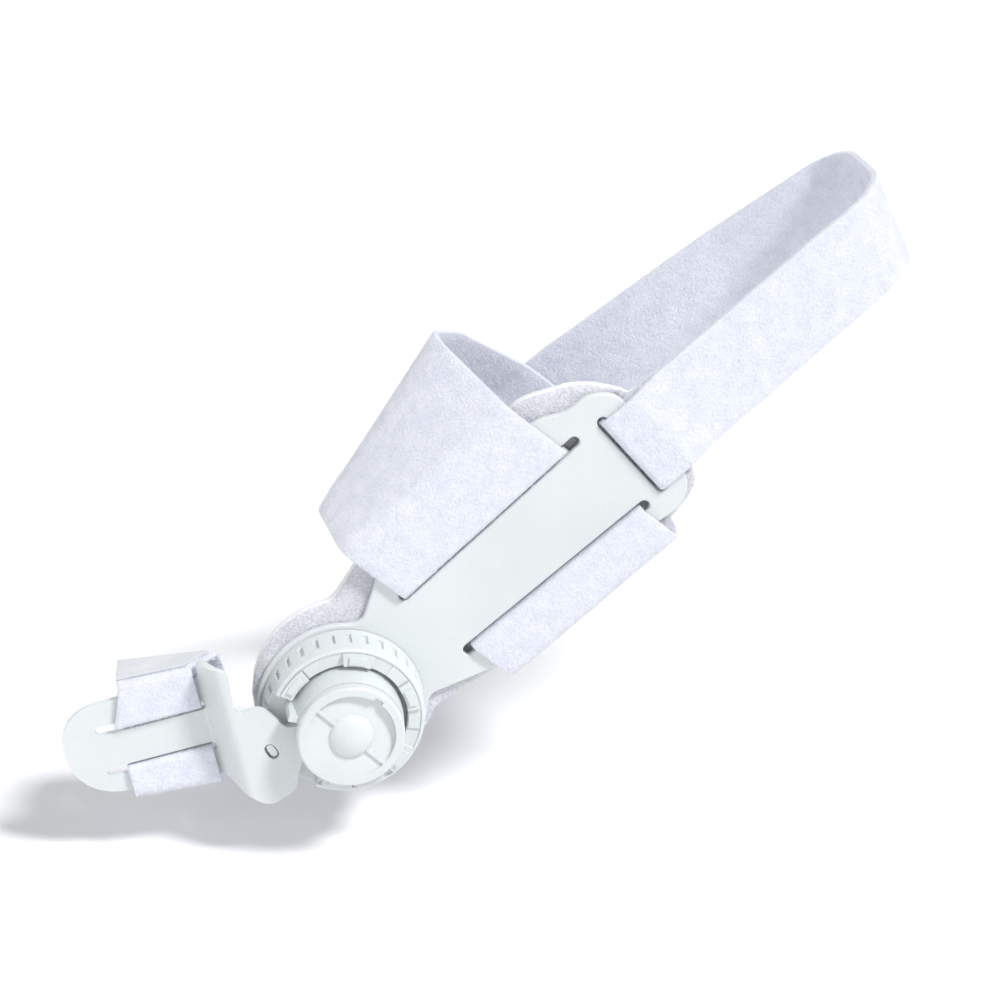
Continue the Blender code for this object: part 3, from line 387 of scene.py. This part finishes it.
def webbing(name, near, far, closed, thickness, body, node, wave=0.0):
    """A strap between two rows of points, as a piece that replaces its solid."""
    bm = bmesh.new()
    grid = [[bm.verts.new(a.lerp(b, k / ACROSS)) for k in range(ACROSS + 1)]
            for a, b in zip(near, far)]
    uv_map = bm.loops.layers.uv.new("along_across")
    rows = len(grid)
    for i in range(rows if closed else rows - 1):
        for k in range(ACROSS):
            j = (i + 1) % rows
            face = bm.faces.new((grid[i][k], grid[j][k], grid[j][k + 1], grid[i][k + 1]))
            for loop, (u, v) in zip(face.loops, ((i, k), (i + 1, k), (i + 1, k + 1), (i, k + 1))):
                loop[uv_map].uv = (u / rows, v / ACROSS)
    bm.normal_update()
    if wave:
        moves = [(v, v.normal * wave * noise.noise(v.co * WAVES_PER_METRE)) for v in bm.verts]
        for vertex, move in moves:
            vertex.co += move
    mesh = bpy.data.meshes.new(name)
    bm.to_mesh(mesh)
    bm.free()
    mesh.shade_smooth()
    piece = new_piece(name, mesh, [LOOP], body)
    wall = piece.modifiers.new("thickness", "SOLIDIFY")
    wall.thickness = thickness
    wall.offset = 0.0
    edge = piece.modifiers.new("cut_edge", "BEVEL")
    edge.width = thickness * CUT_EDGE_SHARE
    edge.segments = 2
    edge.limit_method = "ANGLE"
    edge.angle_limit = CUT_EDGE_ANGLE
    baked(piece)
    piece.data.shade_smooth()
    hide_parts(node)
    print(name, len(piece.data.polygons), "faces")
    return piece


# %% [markdown]
# ## Nap
# Brushed loop fabric and felt are covered with fine fibres that lean every way. They make the soft,
# speckled look and the fuzzy outline. Geometry Nodes scatter a short bent blade over the surface:
# the tree distributes points, turns a blade along each normal with a random lean, realizes the
# instances and gives them their material. Density, length, width and lean are inputs of the tree.

# %% The nap tree
def nap_tree():
    tree, given, result = new_tree("nap", "GeometryNodeTree", [
        ("Geometry", "NodeSocketGeometry", None),
        ("Density", "NodeSocketFloat", 2.0e6),
        ("Length", "NodeSocketFloat", 0.8 * MM),
        ("Width", "NodeSocketFloat", 0.07 * MM),
        ("Lean", "NodeSocketFloat", 1.0),
        ("Seed", "NodeSocketInt", 1),
        ("Material", "NodeSocketMaterial", None),
    ], [("Geometry", "NodeSocketGeometry")])
    blade = add(tree, "GeometryNodeMeshGrid", {
        "Size X": given.outputs["Width"], "Size Y": given.outputs["Length"],
        "Vertices X": 2, "Vertices Y": 3})
    half = add(tree, "ShaderNodeMath", {0: given.outputs["Length"], 1: 0.5}, operation="MULTIPLY")
    lift = add(tree, "ShaderNodeCombineXYZ", {"Z": half.outputs[0]})
    upright = add(tree, "GeometryNodeTransform", {
        "Geometry": blade.outputs["Mesh"], "Translation": lift.outputs["Vector"],
        "Rotation": (math.pi / 2, 0.0, 0.0)})
    place = add(tree, "GeometryNodeInputPosition")
    parts = add(tree, "ShaderNodeSeparateXYZ", {"Vector": place.outputs["Position"]})
    share = add(tree, "ShaderNodeMath", {0: parts.outputs["Z"], 1: given.outputs["Length"]},
                operation="DIVIDE")
    curl = add(tree, "ShaderNodeMath", {0: share.outputs[0], 1: 2.0}, operation="POWER")
    reach = add(tree, "ShaderNodeMath", {0: curl.outputs[0], 1: half.outputs[0]},
                operation="MULTIPLY")
    bend = add(tree, "ShaderNodeCombineXYZ", {"Y": reach.outputs[0]})
    bent = add(tree, "GeometryNodeSetPosition", {
        "Geometry": upright.outputs["Geometry"], "Offset": bend.outputs["Vector"]})
    points = add(tree, "GeometryNodeDistributePointsOnFaces", {
        "Mesh": given.outputs["Geometry"], "Density": given.outputs["Density"],
        "Seed": given.outputs["Seed"]})
    drift = add(tree, "FunctionNodeRandomValue", {
        0: (-1.0, -1.0, -1.0), 1: (1.0, 1.0, 1.0), "Seed": given.outputs["Seed"]},
        data_type="FLOAT_VECTOR")
    leaning = add(tree, "ShaderNodeVectorMath", {
        0: drift.outputs[0], "Scale": given.outputs["Lean"]}, operation="SCALE")
    direction = add(tree, "ShaderNodeVectorMath", {
        0: points.outputs["Normal"], 1: leaning.outputs[0]}, operation="ADD")
    turned = add(tree, "FunctionNodeAlignRotationToVector", {
        "Rotation": points.outputs["Rotation"], "Vector": direction.outputs[0]}, axis="Z")
    size = add(tree, "FunctionNodeRandomValue", {2: 0.5, 3: 1.25, "Seed": 7}, data_type="FLOAT")
    blades = add(tree, "GeometryNodeInstanceOnPoints", {
        "Points": points.outputs["Points"], "Instance": bent.outputs["Geometry"],
        "Rotation": turned.outputs["Rotation"], "Scale": size.outputs[1]})
    real = add(tree, "GeometryNodeRealizeInstances", {"Geometry": blades.outputs["Instances"]})
    dressed = add(tree, "GeometryNodeSetMaterial", {
        "Geometry": real.outputs["Geometry"], "Material": given.outputs["Material"]})
    tree.links.new(dressed.outputs["Geometry"], result.inputs["Geometry"])
    return tree


NAP_TREE = nap_tree()

# %% Grow a nap on a piece
MOST_BLADES = 46000


def grow_nap(piece, material, body, per_mm2, length, width, lean, seed, keep=None):
    """A nap over the faces that keep(face) picks, as a plain mesh piece of its own."""
    bm = bmesh.new()
    bm.from_mesh(piece.data)
    if keep:
        bmesh.ops.delete(bm, geom=[f for f in bm.faces if not keep(f)], context="FACES")
    area = sum(f.calc_area() for f in bm.faces) / MM ** 2
    mesh = bpy.data.meshes.new("ground")
    bm.to_mesh(mesh)
    bm.free()
    ground = bpy.data.objects.new(piece.name + "_nap", mesh)
    bpy.context.scene.collection.objects.link(ground)
    scatter = ground.modifiers.new("nap", "NODES")
    scatter.node_group = NAP_TREE
    density = min(per_mm2, MOST_BLADES / area)
    values = {"Density": density / MM ** 2, "Length": length, "Width": width, "Lean": lean,
              "Seed": seed, "Material": material}
    for item in NAP_TREE.interface.items_tree:
        if item.name in values:
            scatter[item.identifier] = values[item.name]
    baked(ground)
    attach(ground, body)
    print(ground.name, len(ground.data.polygons) // 2, "blades on", round(area), "mm2")
    return ground


# %% [markdown]
# ## Midfoot strap
# A wide band of loop fabric goes round the midfoot and through the plate's two long slots. It is
# wider than the picture's other straps and leans towards the toes as it rises. The table gives each
# corner of its section; its two edges differ, because the foot is wider in front and higher behind.

# %% Midfoot strap
MIDFOOT_WIDTH = 57.0 * MM
MIDFOOT_START = 31.4 * MM
MIDFOOT_LEAN = 0.16
SLOT_GAUGE_FRONT = 11.7 * MM
SLOT_GAUGE_REAR = 13.2 * MM
FOOT_WIDTH_FRONT = 84.0 * MM
FOOT_WIDTH_REAR = 76.0 * MM
INSTEP_RISE_FRONT = 25.0 * MM
INSTEP_RISE_REAR = 42.0 * MM
SOLE_DROP = 13.5 * MM
PAD_TOP = 30.9 * MM
PAD_BOTTOM = -24.0 * MM
MIDFOOT_CORNERS = (
    # level, height as a share of the instep rise or of the sole drop, depth as a share of the
    # foot's width, and the bend's radius in strap thicknesses
    ("low_slot", 0.0, "inside", 0.8),
    ("high_slot", 0.0, "inside", 0.8),
    ("high_slot", 0.0, "outside", 0.8),
    ("high_edge", 0.0, "outside", 4.0),
    ("high_slot", 1.00, 0.27, 8.5),
    ("high_slot", 0.62, 0.66, 13.0),
    ("high_slot", -0.10, 1.00, 8.5),
    ("low_slot", 0.55, 1.00, 6.5),
    ("low_slot", 1.12, 0.80, 6.5),
    ("low_slot", 1.12, 0.14, 6.5),
    ("low_edge", 0.0, "outside", 2.2),
    ("low_slot", 0.0, "outside", 0.8),
)


def midfoot_edge(start, gauge, rise, width):
    clear = 2 * GAP + STRAP_THICKNESS / 2
    levels = {"high_slot": gauge, "low_slot": -gauge,
              "high_edge": PAD_TOP + clear, "low_edge": PAD_BOTTOM - clear}
    depths = {"inside": STRAP_INSIDE, "outside": STRAP_OUTSIDE}
    corners = []
    for level, share, depth, bend in MIDFOOT_CORNERS:
        across = levels[level] + share * (rise if levels[level] > 0 else -SOLE_DROP)
        y = depths[depth] if depth in depths else STRAP_OUTSIDE + depth * width
        corners.append((across, y, bend * STRAP_THICKNESS))
    return [plate_point(start - MIDFOOT_LEAN * (p.x - gauge), p.x, p.y)
            for p in rounded(corners, True)]


front = midfoot_edge(MIDFOOT_START, SLOT_GAUGE_FRONT, INSTEP_RISE_FRONT, FOOT_WIDTH_FRONT)
rear = midfoot_edge(MIDFOOT_START + MIDFOOT_WIDTH, SLOT_GAUGE_REAR, INSTEP_RISE_REAR, FOOT_WIDTH_REAR)
midfoot = webbing("midfoot_loop_band", front, rear, True, STRAP_THICKNESS, "brace", "midfoot_strap",
                  wave=STRAP_WAVE)
midfoot_nap = grow_nap(midfoot, NAP, "brace", per_mm2=4.0, length=0.75 * MM,
                       width=0.06 * MM, lean=1.1, seed=11)

# %% [markdown]
# ## Heel strap
# A narrower strap is folded through the plate's rear slot, runs up round the back of the heel and
# lies down on the midfoot strap's outer side. Its path is a line in space, and the webbing's width
# leans so that it lies flat on the heel. The lean is given at each corner and blended in between.

# %% Heel strap
PLATE_LENGTH = 108.0 * MM
HEEL_STRAP_WIDTH = 25.0 * MM
HEEL_SLOT_FROM_END = 7.8 * MM
HEEL_REACH = 191.0 * MM
HEEL_TAIL = 18.0 * MM
HEEL_LEAVES_PLATE = 2.5 * MM
HEEL_TO_MIDFOOT = 5.0 * MM
HEEL_OUTER_DROP = 0.12
HEEL_END_OVERLAP = 24.0 * MM
HEEL_THREADING = (
    # place along the plate, level, and the bend's radius in strap thicknesses
    ("tail", "inside", 0.0),
    ("slot", "inside", 0.8),
    ("slot", "outside", 0.8),
    ("end", "outside", 3.2),
    ("tail", "on_tail", 6.4),
)
HEEL_CORNERS = (
    # share of the heel reach, across as a share of the strap's width, depth as a share of the
    # foot's width, lean of the width towards the heel, bend radius as a share of the width
    (0.864, -0.12, 0.122, 0.14, 1.60),
    (1.000, -0.24, 0.215, 0.30, 0.62),
    (1.000, -0.32, 0.780, 0.30, 0.62),
    (0.785, -0.24, 0.930, 0.10, 1.60),
)


def outer_side(u):
    """How deep the midfoot strap's outer side lies at u along the plate, with this strap on it."""
    share = (u - MIDFOOT_START - 2 * MIDFOOT_LEAN * SLOT_GAUGE_FRONT) / MIDFOOT_WIDTH
    y = STRAP_OUTSIDE + FOOT_WIDTH_FRONT + (FOOT_WIDTH_REAR - FOOT_WIDTH_FRONT) * share
    return y + STRAP_THICKNESS + 2 * GAP


def heel_corners():
    slot = PLATE_LENGTH - HEEL_SLOT_FROM_END
    places = {"slot": slot, "tail": slot + HEEL_TAIL, "end": PLATE_LENGTH + HEEL_LEAVES_PLATE}
    depths = {"inside": STRAP_INSIDE, "outside": STRAP_OUTSIDE,
              "on_tail": STRAP_INSIDE - STRAP_THICKNESS - 1.5 * GAP}
    corners = [(places[along], 0.0, depths[level], 0.0, bend * STRAP_THICKNESS)
               for along, level, bend in HEEL_THREADING]
    for reach, across, depth, lean, bend in HEEL_CORNERS:
        corners.append((reach * HEEL_REACH, across * HEEL_STRAP_WIDTH,
                        STRAP_OUTSIDE + depth * FOOT_WIDTH_REAR, lean, bend * HEEL_STRAP_WIDTH))
    rear_edge = MIDFOOT_START + MIDFOOT_WIDTH + MIDFOOT_LEAN * SLOT_GAUGE_REAR
    drop = -HEEL_OUTER_DROP * HEEL_STRAP_WIDTH
    for u, bend in ((rear_edge + HEEL_TO_MIDFOOT, HEEL_STRAP_WIDTH), (rear_edge - HEEL_END_OVERLAP, 0.0)):
        corners.append((u, drop, outer_side(u), 0.0, bend))
    return corners


def heel_edges():
    corners = heel_corners()
    points = rounded([(u, v, y, bend) for u, v, y, lean, bend in corners], False)
    near, far = [], []
    for i, point in enumerate(points):
        corner, step = divmod(i + BEND_STEPS, PER_CORNER)
        share = max(0, step - BEND_STEPS) / (STRETCH_STEPS + 1)
        ahead = min(corner + 1, len(corners) - 1)
        lean = corners[corner][3] * (1 - share) + corners[ahead][3] * share
        along = (points[min(i + 1, len(points) - 1)] - points[max(i - 1, 0)]).normalized()
        across = Vector((lean, 1.0, 0.0))
        across = (across - along * across.dot(along)).normalized() * HEEL_STRAP_WIDTH / 2
        near.append(plate_point(*(point - across)))
        far.append(plate_point(*(point + across)))
    return near, far


near, far = heel_edges()
heel = webbing("heel_loop_band", near, far, False, STRAP_THICKNESS, "brace", "heel_strap",
               wave=STRAP_WAVE)
heel_nap = grow_nap(heel, NAP, "brace", per_mm2=4.0, length=0.75 * MM,
                    width=0.06 * MM, lean=1.1, seed=12)

# %% [markdown]
# ## Toe strap and its hook tab
# The toe strap is a loop through the splint's two slots and round the big toe. On the foot side it
# shifts towards the dial, because the toe tapers. A smooth hook tab closes it on top, with a slanting
# end. The tab lies on the strap, so it is made from the strap's own edges, lifted by both half walls.

# %% Toe strap
BEND_START = 29.4 * MM
BEND_LENGTH = 4.8 * MM
PADDLE_TOP = 18.2 * MM
PADDLE_BOTTOM = 8.6 * MM
TOE_SLOT_TOP = 10.6 * MM
TOE_SLOT_BOTTOM = 1.6 * MM
TOE_STRAP_WIDTH = 22.7 * MM
TOE_STRAP_FROM_BEND = 1.4 * MM
TOE_LOOP_DEPTH = 26.3 * MM
TOE_CORNERS = (
    # level, its share at the dial-side and at the toe-side edge, depth as a share of the loop's,
    # shift of each edge in strap widths, bend radius as a share of the loop's depth
    ("bottom_slot", 1.00, 1.00, "inside", 0.00, 0.00, 0.04),
    ("top_slot", 1.00, 1.00, "inside", 0.00, 0.00, 0.04),
    ("top_slot", 1.00, 1.00, "outside", 0.00, 0.00, 0.04),
    ("top", 1.20, 1.24, "outside", 0.00, -0.15, 0.05),
    ("top", 0.95, 1.19, 0.56, -0.31, -0.18, 0.19),
    ("top", 0.55, 0.82, 1.00, -0.31, -0.18, 0.23),
    ("bottom", 0.46, 0.12, 1.00, -0.18, -0.09, 0.23),
    ("bottom", 1.19, 0.95, 0.56, -0.04, 0.00, 0.19),
    ("bottom", 1.40, 1.14, "outside", 0.00, 0.00, 0.08),
    ("bottom_slot", 1.00, 1.00, "outside", 0.00, 0.00, 0.04),
)


def toe_edge(side, start, lift=0.0):
    """The strap's edge next to the dial (side 0) or the toe's tip (side 1), lifted outwards."""
    heights = {"bottom_slot": -TOE_SLOT_BOTTOM, "top_slot": TOE_SLOT_TOP,
               "top": PADDLE_TOP, "bottom": -PADDLE_BOTTOM}
    depths = {"inside": TOE_INSIDE, "outside": TOE_OUTSIDE}
    corners, shifts = [], []
    for row in TOE_CORNERS:
        y = depths[row[3]] if row[3] in depths else TOE_OUTSIDE + row[3] * TOE_LOOP_DEPTH
        corners.append((heights[row[0]] * row[1 + side], y, row[6] * TOE_LOOP_DEPTH))
        shifts.append(row[4 + side] * TOE_STRAP_WIDTH)
    path = rounded(corners, True)
    points = []
    for i, p in enumerate(path):
        corner, step = divmod(i, PER_CORNER)
        share = max(0, step - BEND_STEPS) / (STRETCH_STEPS + 1)
        shift = shifts[corner] * (1 - share) + shifts[(corner + 1) % len(shifts)] * share
        along = (path[(i + 1) % len(path)] - path[i - 1]).normalized()
        p = p + Vector((along.y, -along.x)) * lift
        points.append(splint_point(start + shift, p.x, p.y))
    return points


TOE_START = BEND_START + BEND_LENGTH + TOE_STRAP_FROM_BEND
dial_side = toe_edge(0, TOE_START)
toe_side = toe_edge(1, TOE_START + TOE_STRAP_WIDTH)
toe = webbing("toe_loop_band", dial_side, toe_side, True, TOE_STRAP_THICKNESS, "splint", "toe_strap")
toe_nap = grow_nap(toe, NAP, "splint", per_mm2=5.0, length=0.65 * MM,
                   width=0.06 * MM, lean=1.1, seed=13)

# %% Hook tab
HOOK_TAB_THICKNESS = 0.8 * MM
TAB_CORNER = 3
TAB_STEPS = 3
TAB_WIDEST, TAB_NARROWEST = 0.90, 0.92

lift = (TOE_STRAP_THICKNESS + HOOK_TAB_THICKNESS) / 2 + 0.3 * GAP
first = TAB_CORNER * PER_CORNER + BEND_STEPS
last = first + STRETCH_STEPS + 1 + TAB_STEPS
inner_edge = toe_edge(0, TOE_START, lift)[first:last]
outer_edge = toe_edge(1, TOE_START + TOE_STRAP_WIDTH, lift)[first:last]
slant = [b.lerp(a, TAB_WIDEST + (TAB_NARROWEST - TAB_WIDEST) * i / (len(inner_edge) - 1))
         for i, (a, b) in enumerate(zip(inner_edge, outer_edge))]
tab = webbing("toe_hook_tape", slant, outer_edge, False, HOOK_TAB_THICKNESS, "splint", "toe_hook_tab")
tab.data.materials.clear()
tab.data.materials.append(HOOK)

# %% [markdown]
# ## Foam pad
# Behind the plate lies a die-cut pad of foam with felt on both faces. It is squeezed a little where
# the foot presses, so its face is softly crowned. The solid is remeshed, its foot side is blown up by
# a short cloth simulation with pressure, and the move of each point is capped, so that the pad stays
# clear of the plate. The cut edge shows the white foam, and the faces get the felt and a nap.

# %% Pad: remesh and inflate
VOXEL = 0.9 * MM
PAD_PRESSURE = 3.0
PAD_FRAMES = 14
CROWN = 0.9 * MM
PLATE_SIDE_MOVE = 0.06 * MM
FOOT_SIDE = 0.5


def remeshed_pad():
    bm = whole_faces("foam_pad")
    mesh = bpy.data.meshes.new("pad_start")
    bm.to_mesh(mesh)
    bm.free()
    start = bpy.data.objects.new("pad_start", mesh)
    bpy.context.scene.collection.objects.link(start)
    voxels = start.modifiers.new("voxels", "REMESH")
    voxels.mode = "VOXEL"
    voxels.voxel_size = VOXEL
    voxels.adaptivity = 0.0
    return baked(start)


def crowned(start):
    """The pad's points after a short inflation, each move capped by the side that it is on."""
    rest = [v.co.copy() for v in start.data.vertices]
    normals = [v.normal.copy() for v in start.data.vertices]
    cloth = start.modifiers.new("inflate", "CLOTH")
    cloth.settings.use_pressure = True
    cloth.settings.uniform_pressure_force = PAD_PRESSURE
    cloth.settings.effector_weights.gravity = 0.0
    cloth.settings.quality = 4
    cloth.collision_settings.use_collision = False
    cloth.point_cache.frame_end = PAD_FRAMES
    for step in range(1, PAD_FRAMES + 1):
        bpy.context.scene.frame_set(step)
    graph = bpy.context.evaluated_depsgraph_get()
    swollen = [v.co.copy() for v in start.evaluated_get(graph).data.vertices]
    start.modifiers.clear()
    bpy.context.scene.frame_set(1)
    for vertex, old, new, normal in zip(start.data.vertices, rest, swollen, normals):
        most = CROWN if normal.y > FOOT_SIDE else PLATE_SIDE_MOVE
        move = new - old
        if move.length > most:
            move = move.normalized() * most
        vertex.co = old + move
    return start


pad_start = remeshed_pad()
crowned(pad_start)
print("pad:", len(pad_start.data.vertices), "points after the remesh")

# %% Pad: the finished piece
SMOOTH_PASSES = 8
FELT_FACE = 0.55
PLATE_SIDE = -0.3


def faces_out(face):
    """Whether a face looks away from the foot, towards the plate."""
    return face.normal.y < PLATE_SIDE


def finished_pad(start):
    smooth = start.modifiers.new("smooth", "SMOOTH")
    smooth.iterations = SMOOTH_PASSES
    finer = start.modifiers.new("finer", "SUBSURF")
    finer.levels = 1
    finer.render_levels = 1
    baked(start)
    mesh = start.data
    mesh.name = "felt_pad"
    mesh.shade_smooth()
    mesh.materials.clear()
    piece = new_piece("felt_pad", mesh, [FELT, FOAM], "brace")
    bpy.data.objects.remove(start)
    for face in mesh.polygons:
        face.material_index = 0 if abs(face.normal.y) > FELT_FACE else 1
    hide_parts("foam_pad")
    return piece


pad = finished_pad(pad_start)
pad_nap = grow_nap(pad, FELT_NAP, "brace", per_mm2=3.0, length=0.6 * MM,
                   width=0.05 * MM, lean=1.4, seed=14, keep=faces_out)
print("pad:", len(pad.data.polygons), "faces")

# %% [markdown]
# ## Stage and light
# A pale sweep runs from the floor up behind the object, so that there is no horizon. A soft sun from
# the upper right and front shades the dial's dish and notches as in the picture, and it lights the
# sweep evenly. A weak panel fills from the left, and a pale world keeps the shadows open.

# %% Floor sweep
FLOOR_DROP = 17.0 * MM
SWEEP_FRONT = -8.0
SWEEP_BACK = 0.9
SWEEP_RADIUS = 0.4
SWEEP_STEPS = 12
SWEEP_HEIGHT = 2.0
SWEEP_HALF_WIDTH = 6.0
floor_level = solid_box[0].z - FLOOR_DROP


def sweep():
    """A floor that curves up into a back wall. It lies clear of the splint's lowest pose."""
    profile = [(SWEEP_FRONT, floor_level), (SWEEP_BACK, floor_level)]
    for k in range(1, SWEEP_STEPS + 1):
        t = math.pi / 2 * k / SWEEP_STEPS
        profile.append((SWEEP_BACK + SWEEP_RADIUS * math.sin(t),
                        floor_level + SWEEP_RADIUS * (1 - math.cos(t))))
    profile.append((SWEEP_BACK + SWEEP_RADIUS, floor_level + SWEEP_HEIGHT))
    bm = bmesh.new()
    left = [bm.verts.new((-SWEEP_HALF_WIDTH, y, z)) for y, z in profile]
    right = [bm.verts.new((SWEEP_HALF_WIDTH, y, z)) for y, z in profile]
    for i in range(len(profile) - 1):
        bm.faces.new((left[i], right[i], right[i + 1], left[i + 1]))
    mesh = bpy.data.meshes.new("sweep")
    bm.to_mesh(mesh)
    bm.free()
    mesh.shade_smooth()
    material = bpy.data.materials.new("pale_sweep")
    material.use_nodes = True
    shader = material.node_tree.nodes["Principled BSDF"]
    shader.inputs["Base Color"].default_value = (0.90, 0.90, 0.91, 1.0)
    shader.inputs["Roughness"].default_value = 0.8
    mesh.materials.append(material)
    floor = bpy.data.objects.new("sweep", mesh)
    bpy.context.scene.collection.objects.link(floor)
    return floor


sweep()
print("floor at", round(floor_level / MM, 1), "mm")

# %% Lights
SUN_FROM = Vector((0.50, -0.50, 0.85))
SUN_STRENGTH = 2.5
SUN_ANGLE = math.radians(12)
FILL_FROM = Vector((-0.9, -0.8, 0.5))
FILL_SIZE = 0.8
FILL_POWER = 3.0
WORLD_STRENGTH = 0.42

sun = bpy.data.objects.new("sun", bpy.data.lights.new("sun", "SUN"))
sun.data.energy = SUN_STRENGTH
sun.data.angle = SUN_ANGLE
sun.rotation_euler = (-SUN_FROM).to_track_quat("-Z", "Y").to_euler()
bpy.context.scene.collection.objects.link(sun)

fill = bpy.data.objects.new("fill", bpy.data.lights.new("fill", "AREA"))
fill.data.size = FILL_SIZE
fill.data.energy = FILL_POWER
fill.location = CAMERA_TARGET + FILL_FROM
fill.rotation_euler = (-FILL_FROM).to_track_quat("-Z", "Y").to_euler()
bpy.context.scene.collection.objects.link(fill)

world = bpy.data.worlds.new("pale_world")
world.use_nodes = True
world.node_tree.nodes["Background"].inputs["Color"].default_value = (0.96, 0.98, 1.0, 1.0)
world.node_tree.nodes["Background"].inputs["Strength"].default_value = WORLD_STRENGTH
bpy.context.scene.world = world
bpy.context.scene.view_settings.view_transform = "Standard"
print("lights: sun and fill")
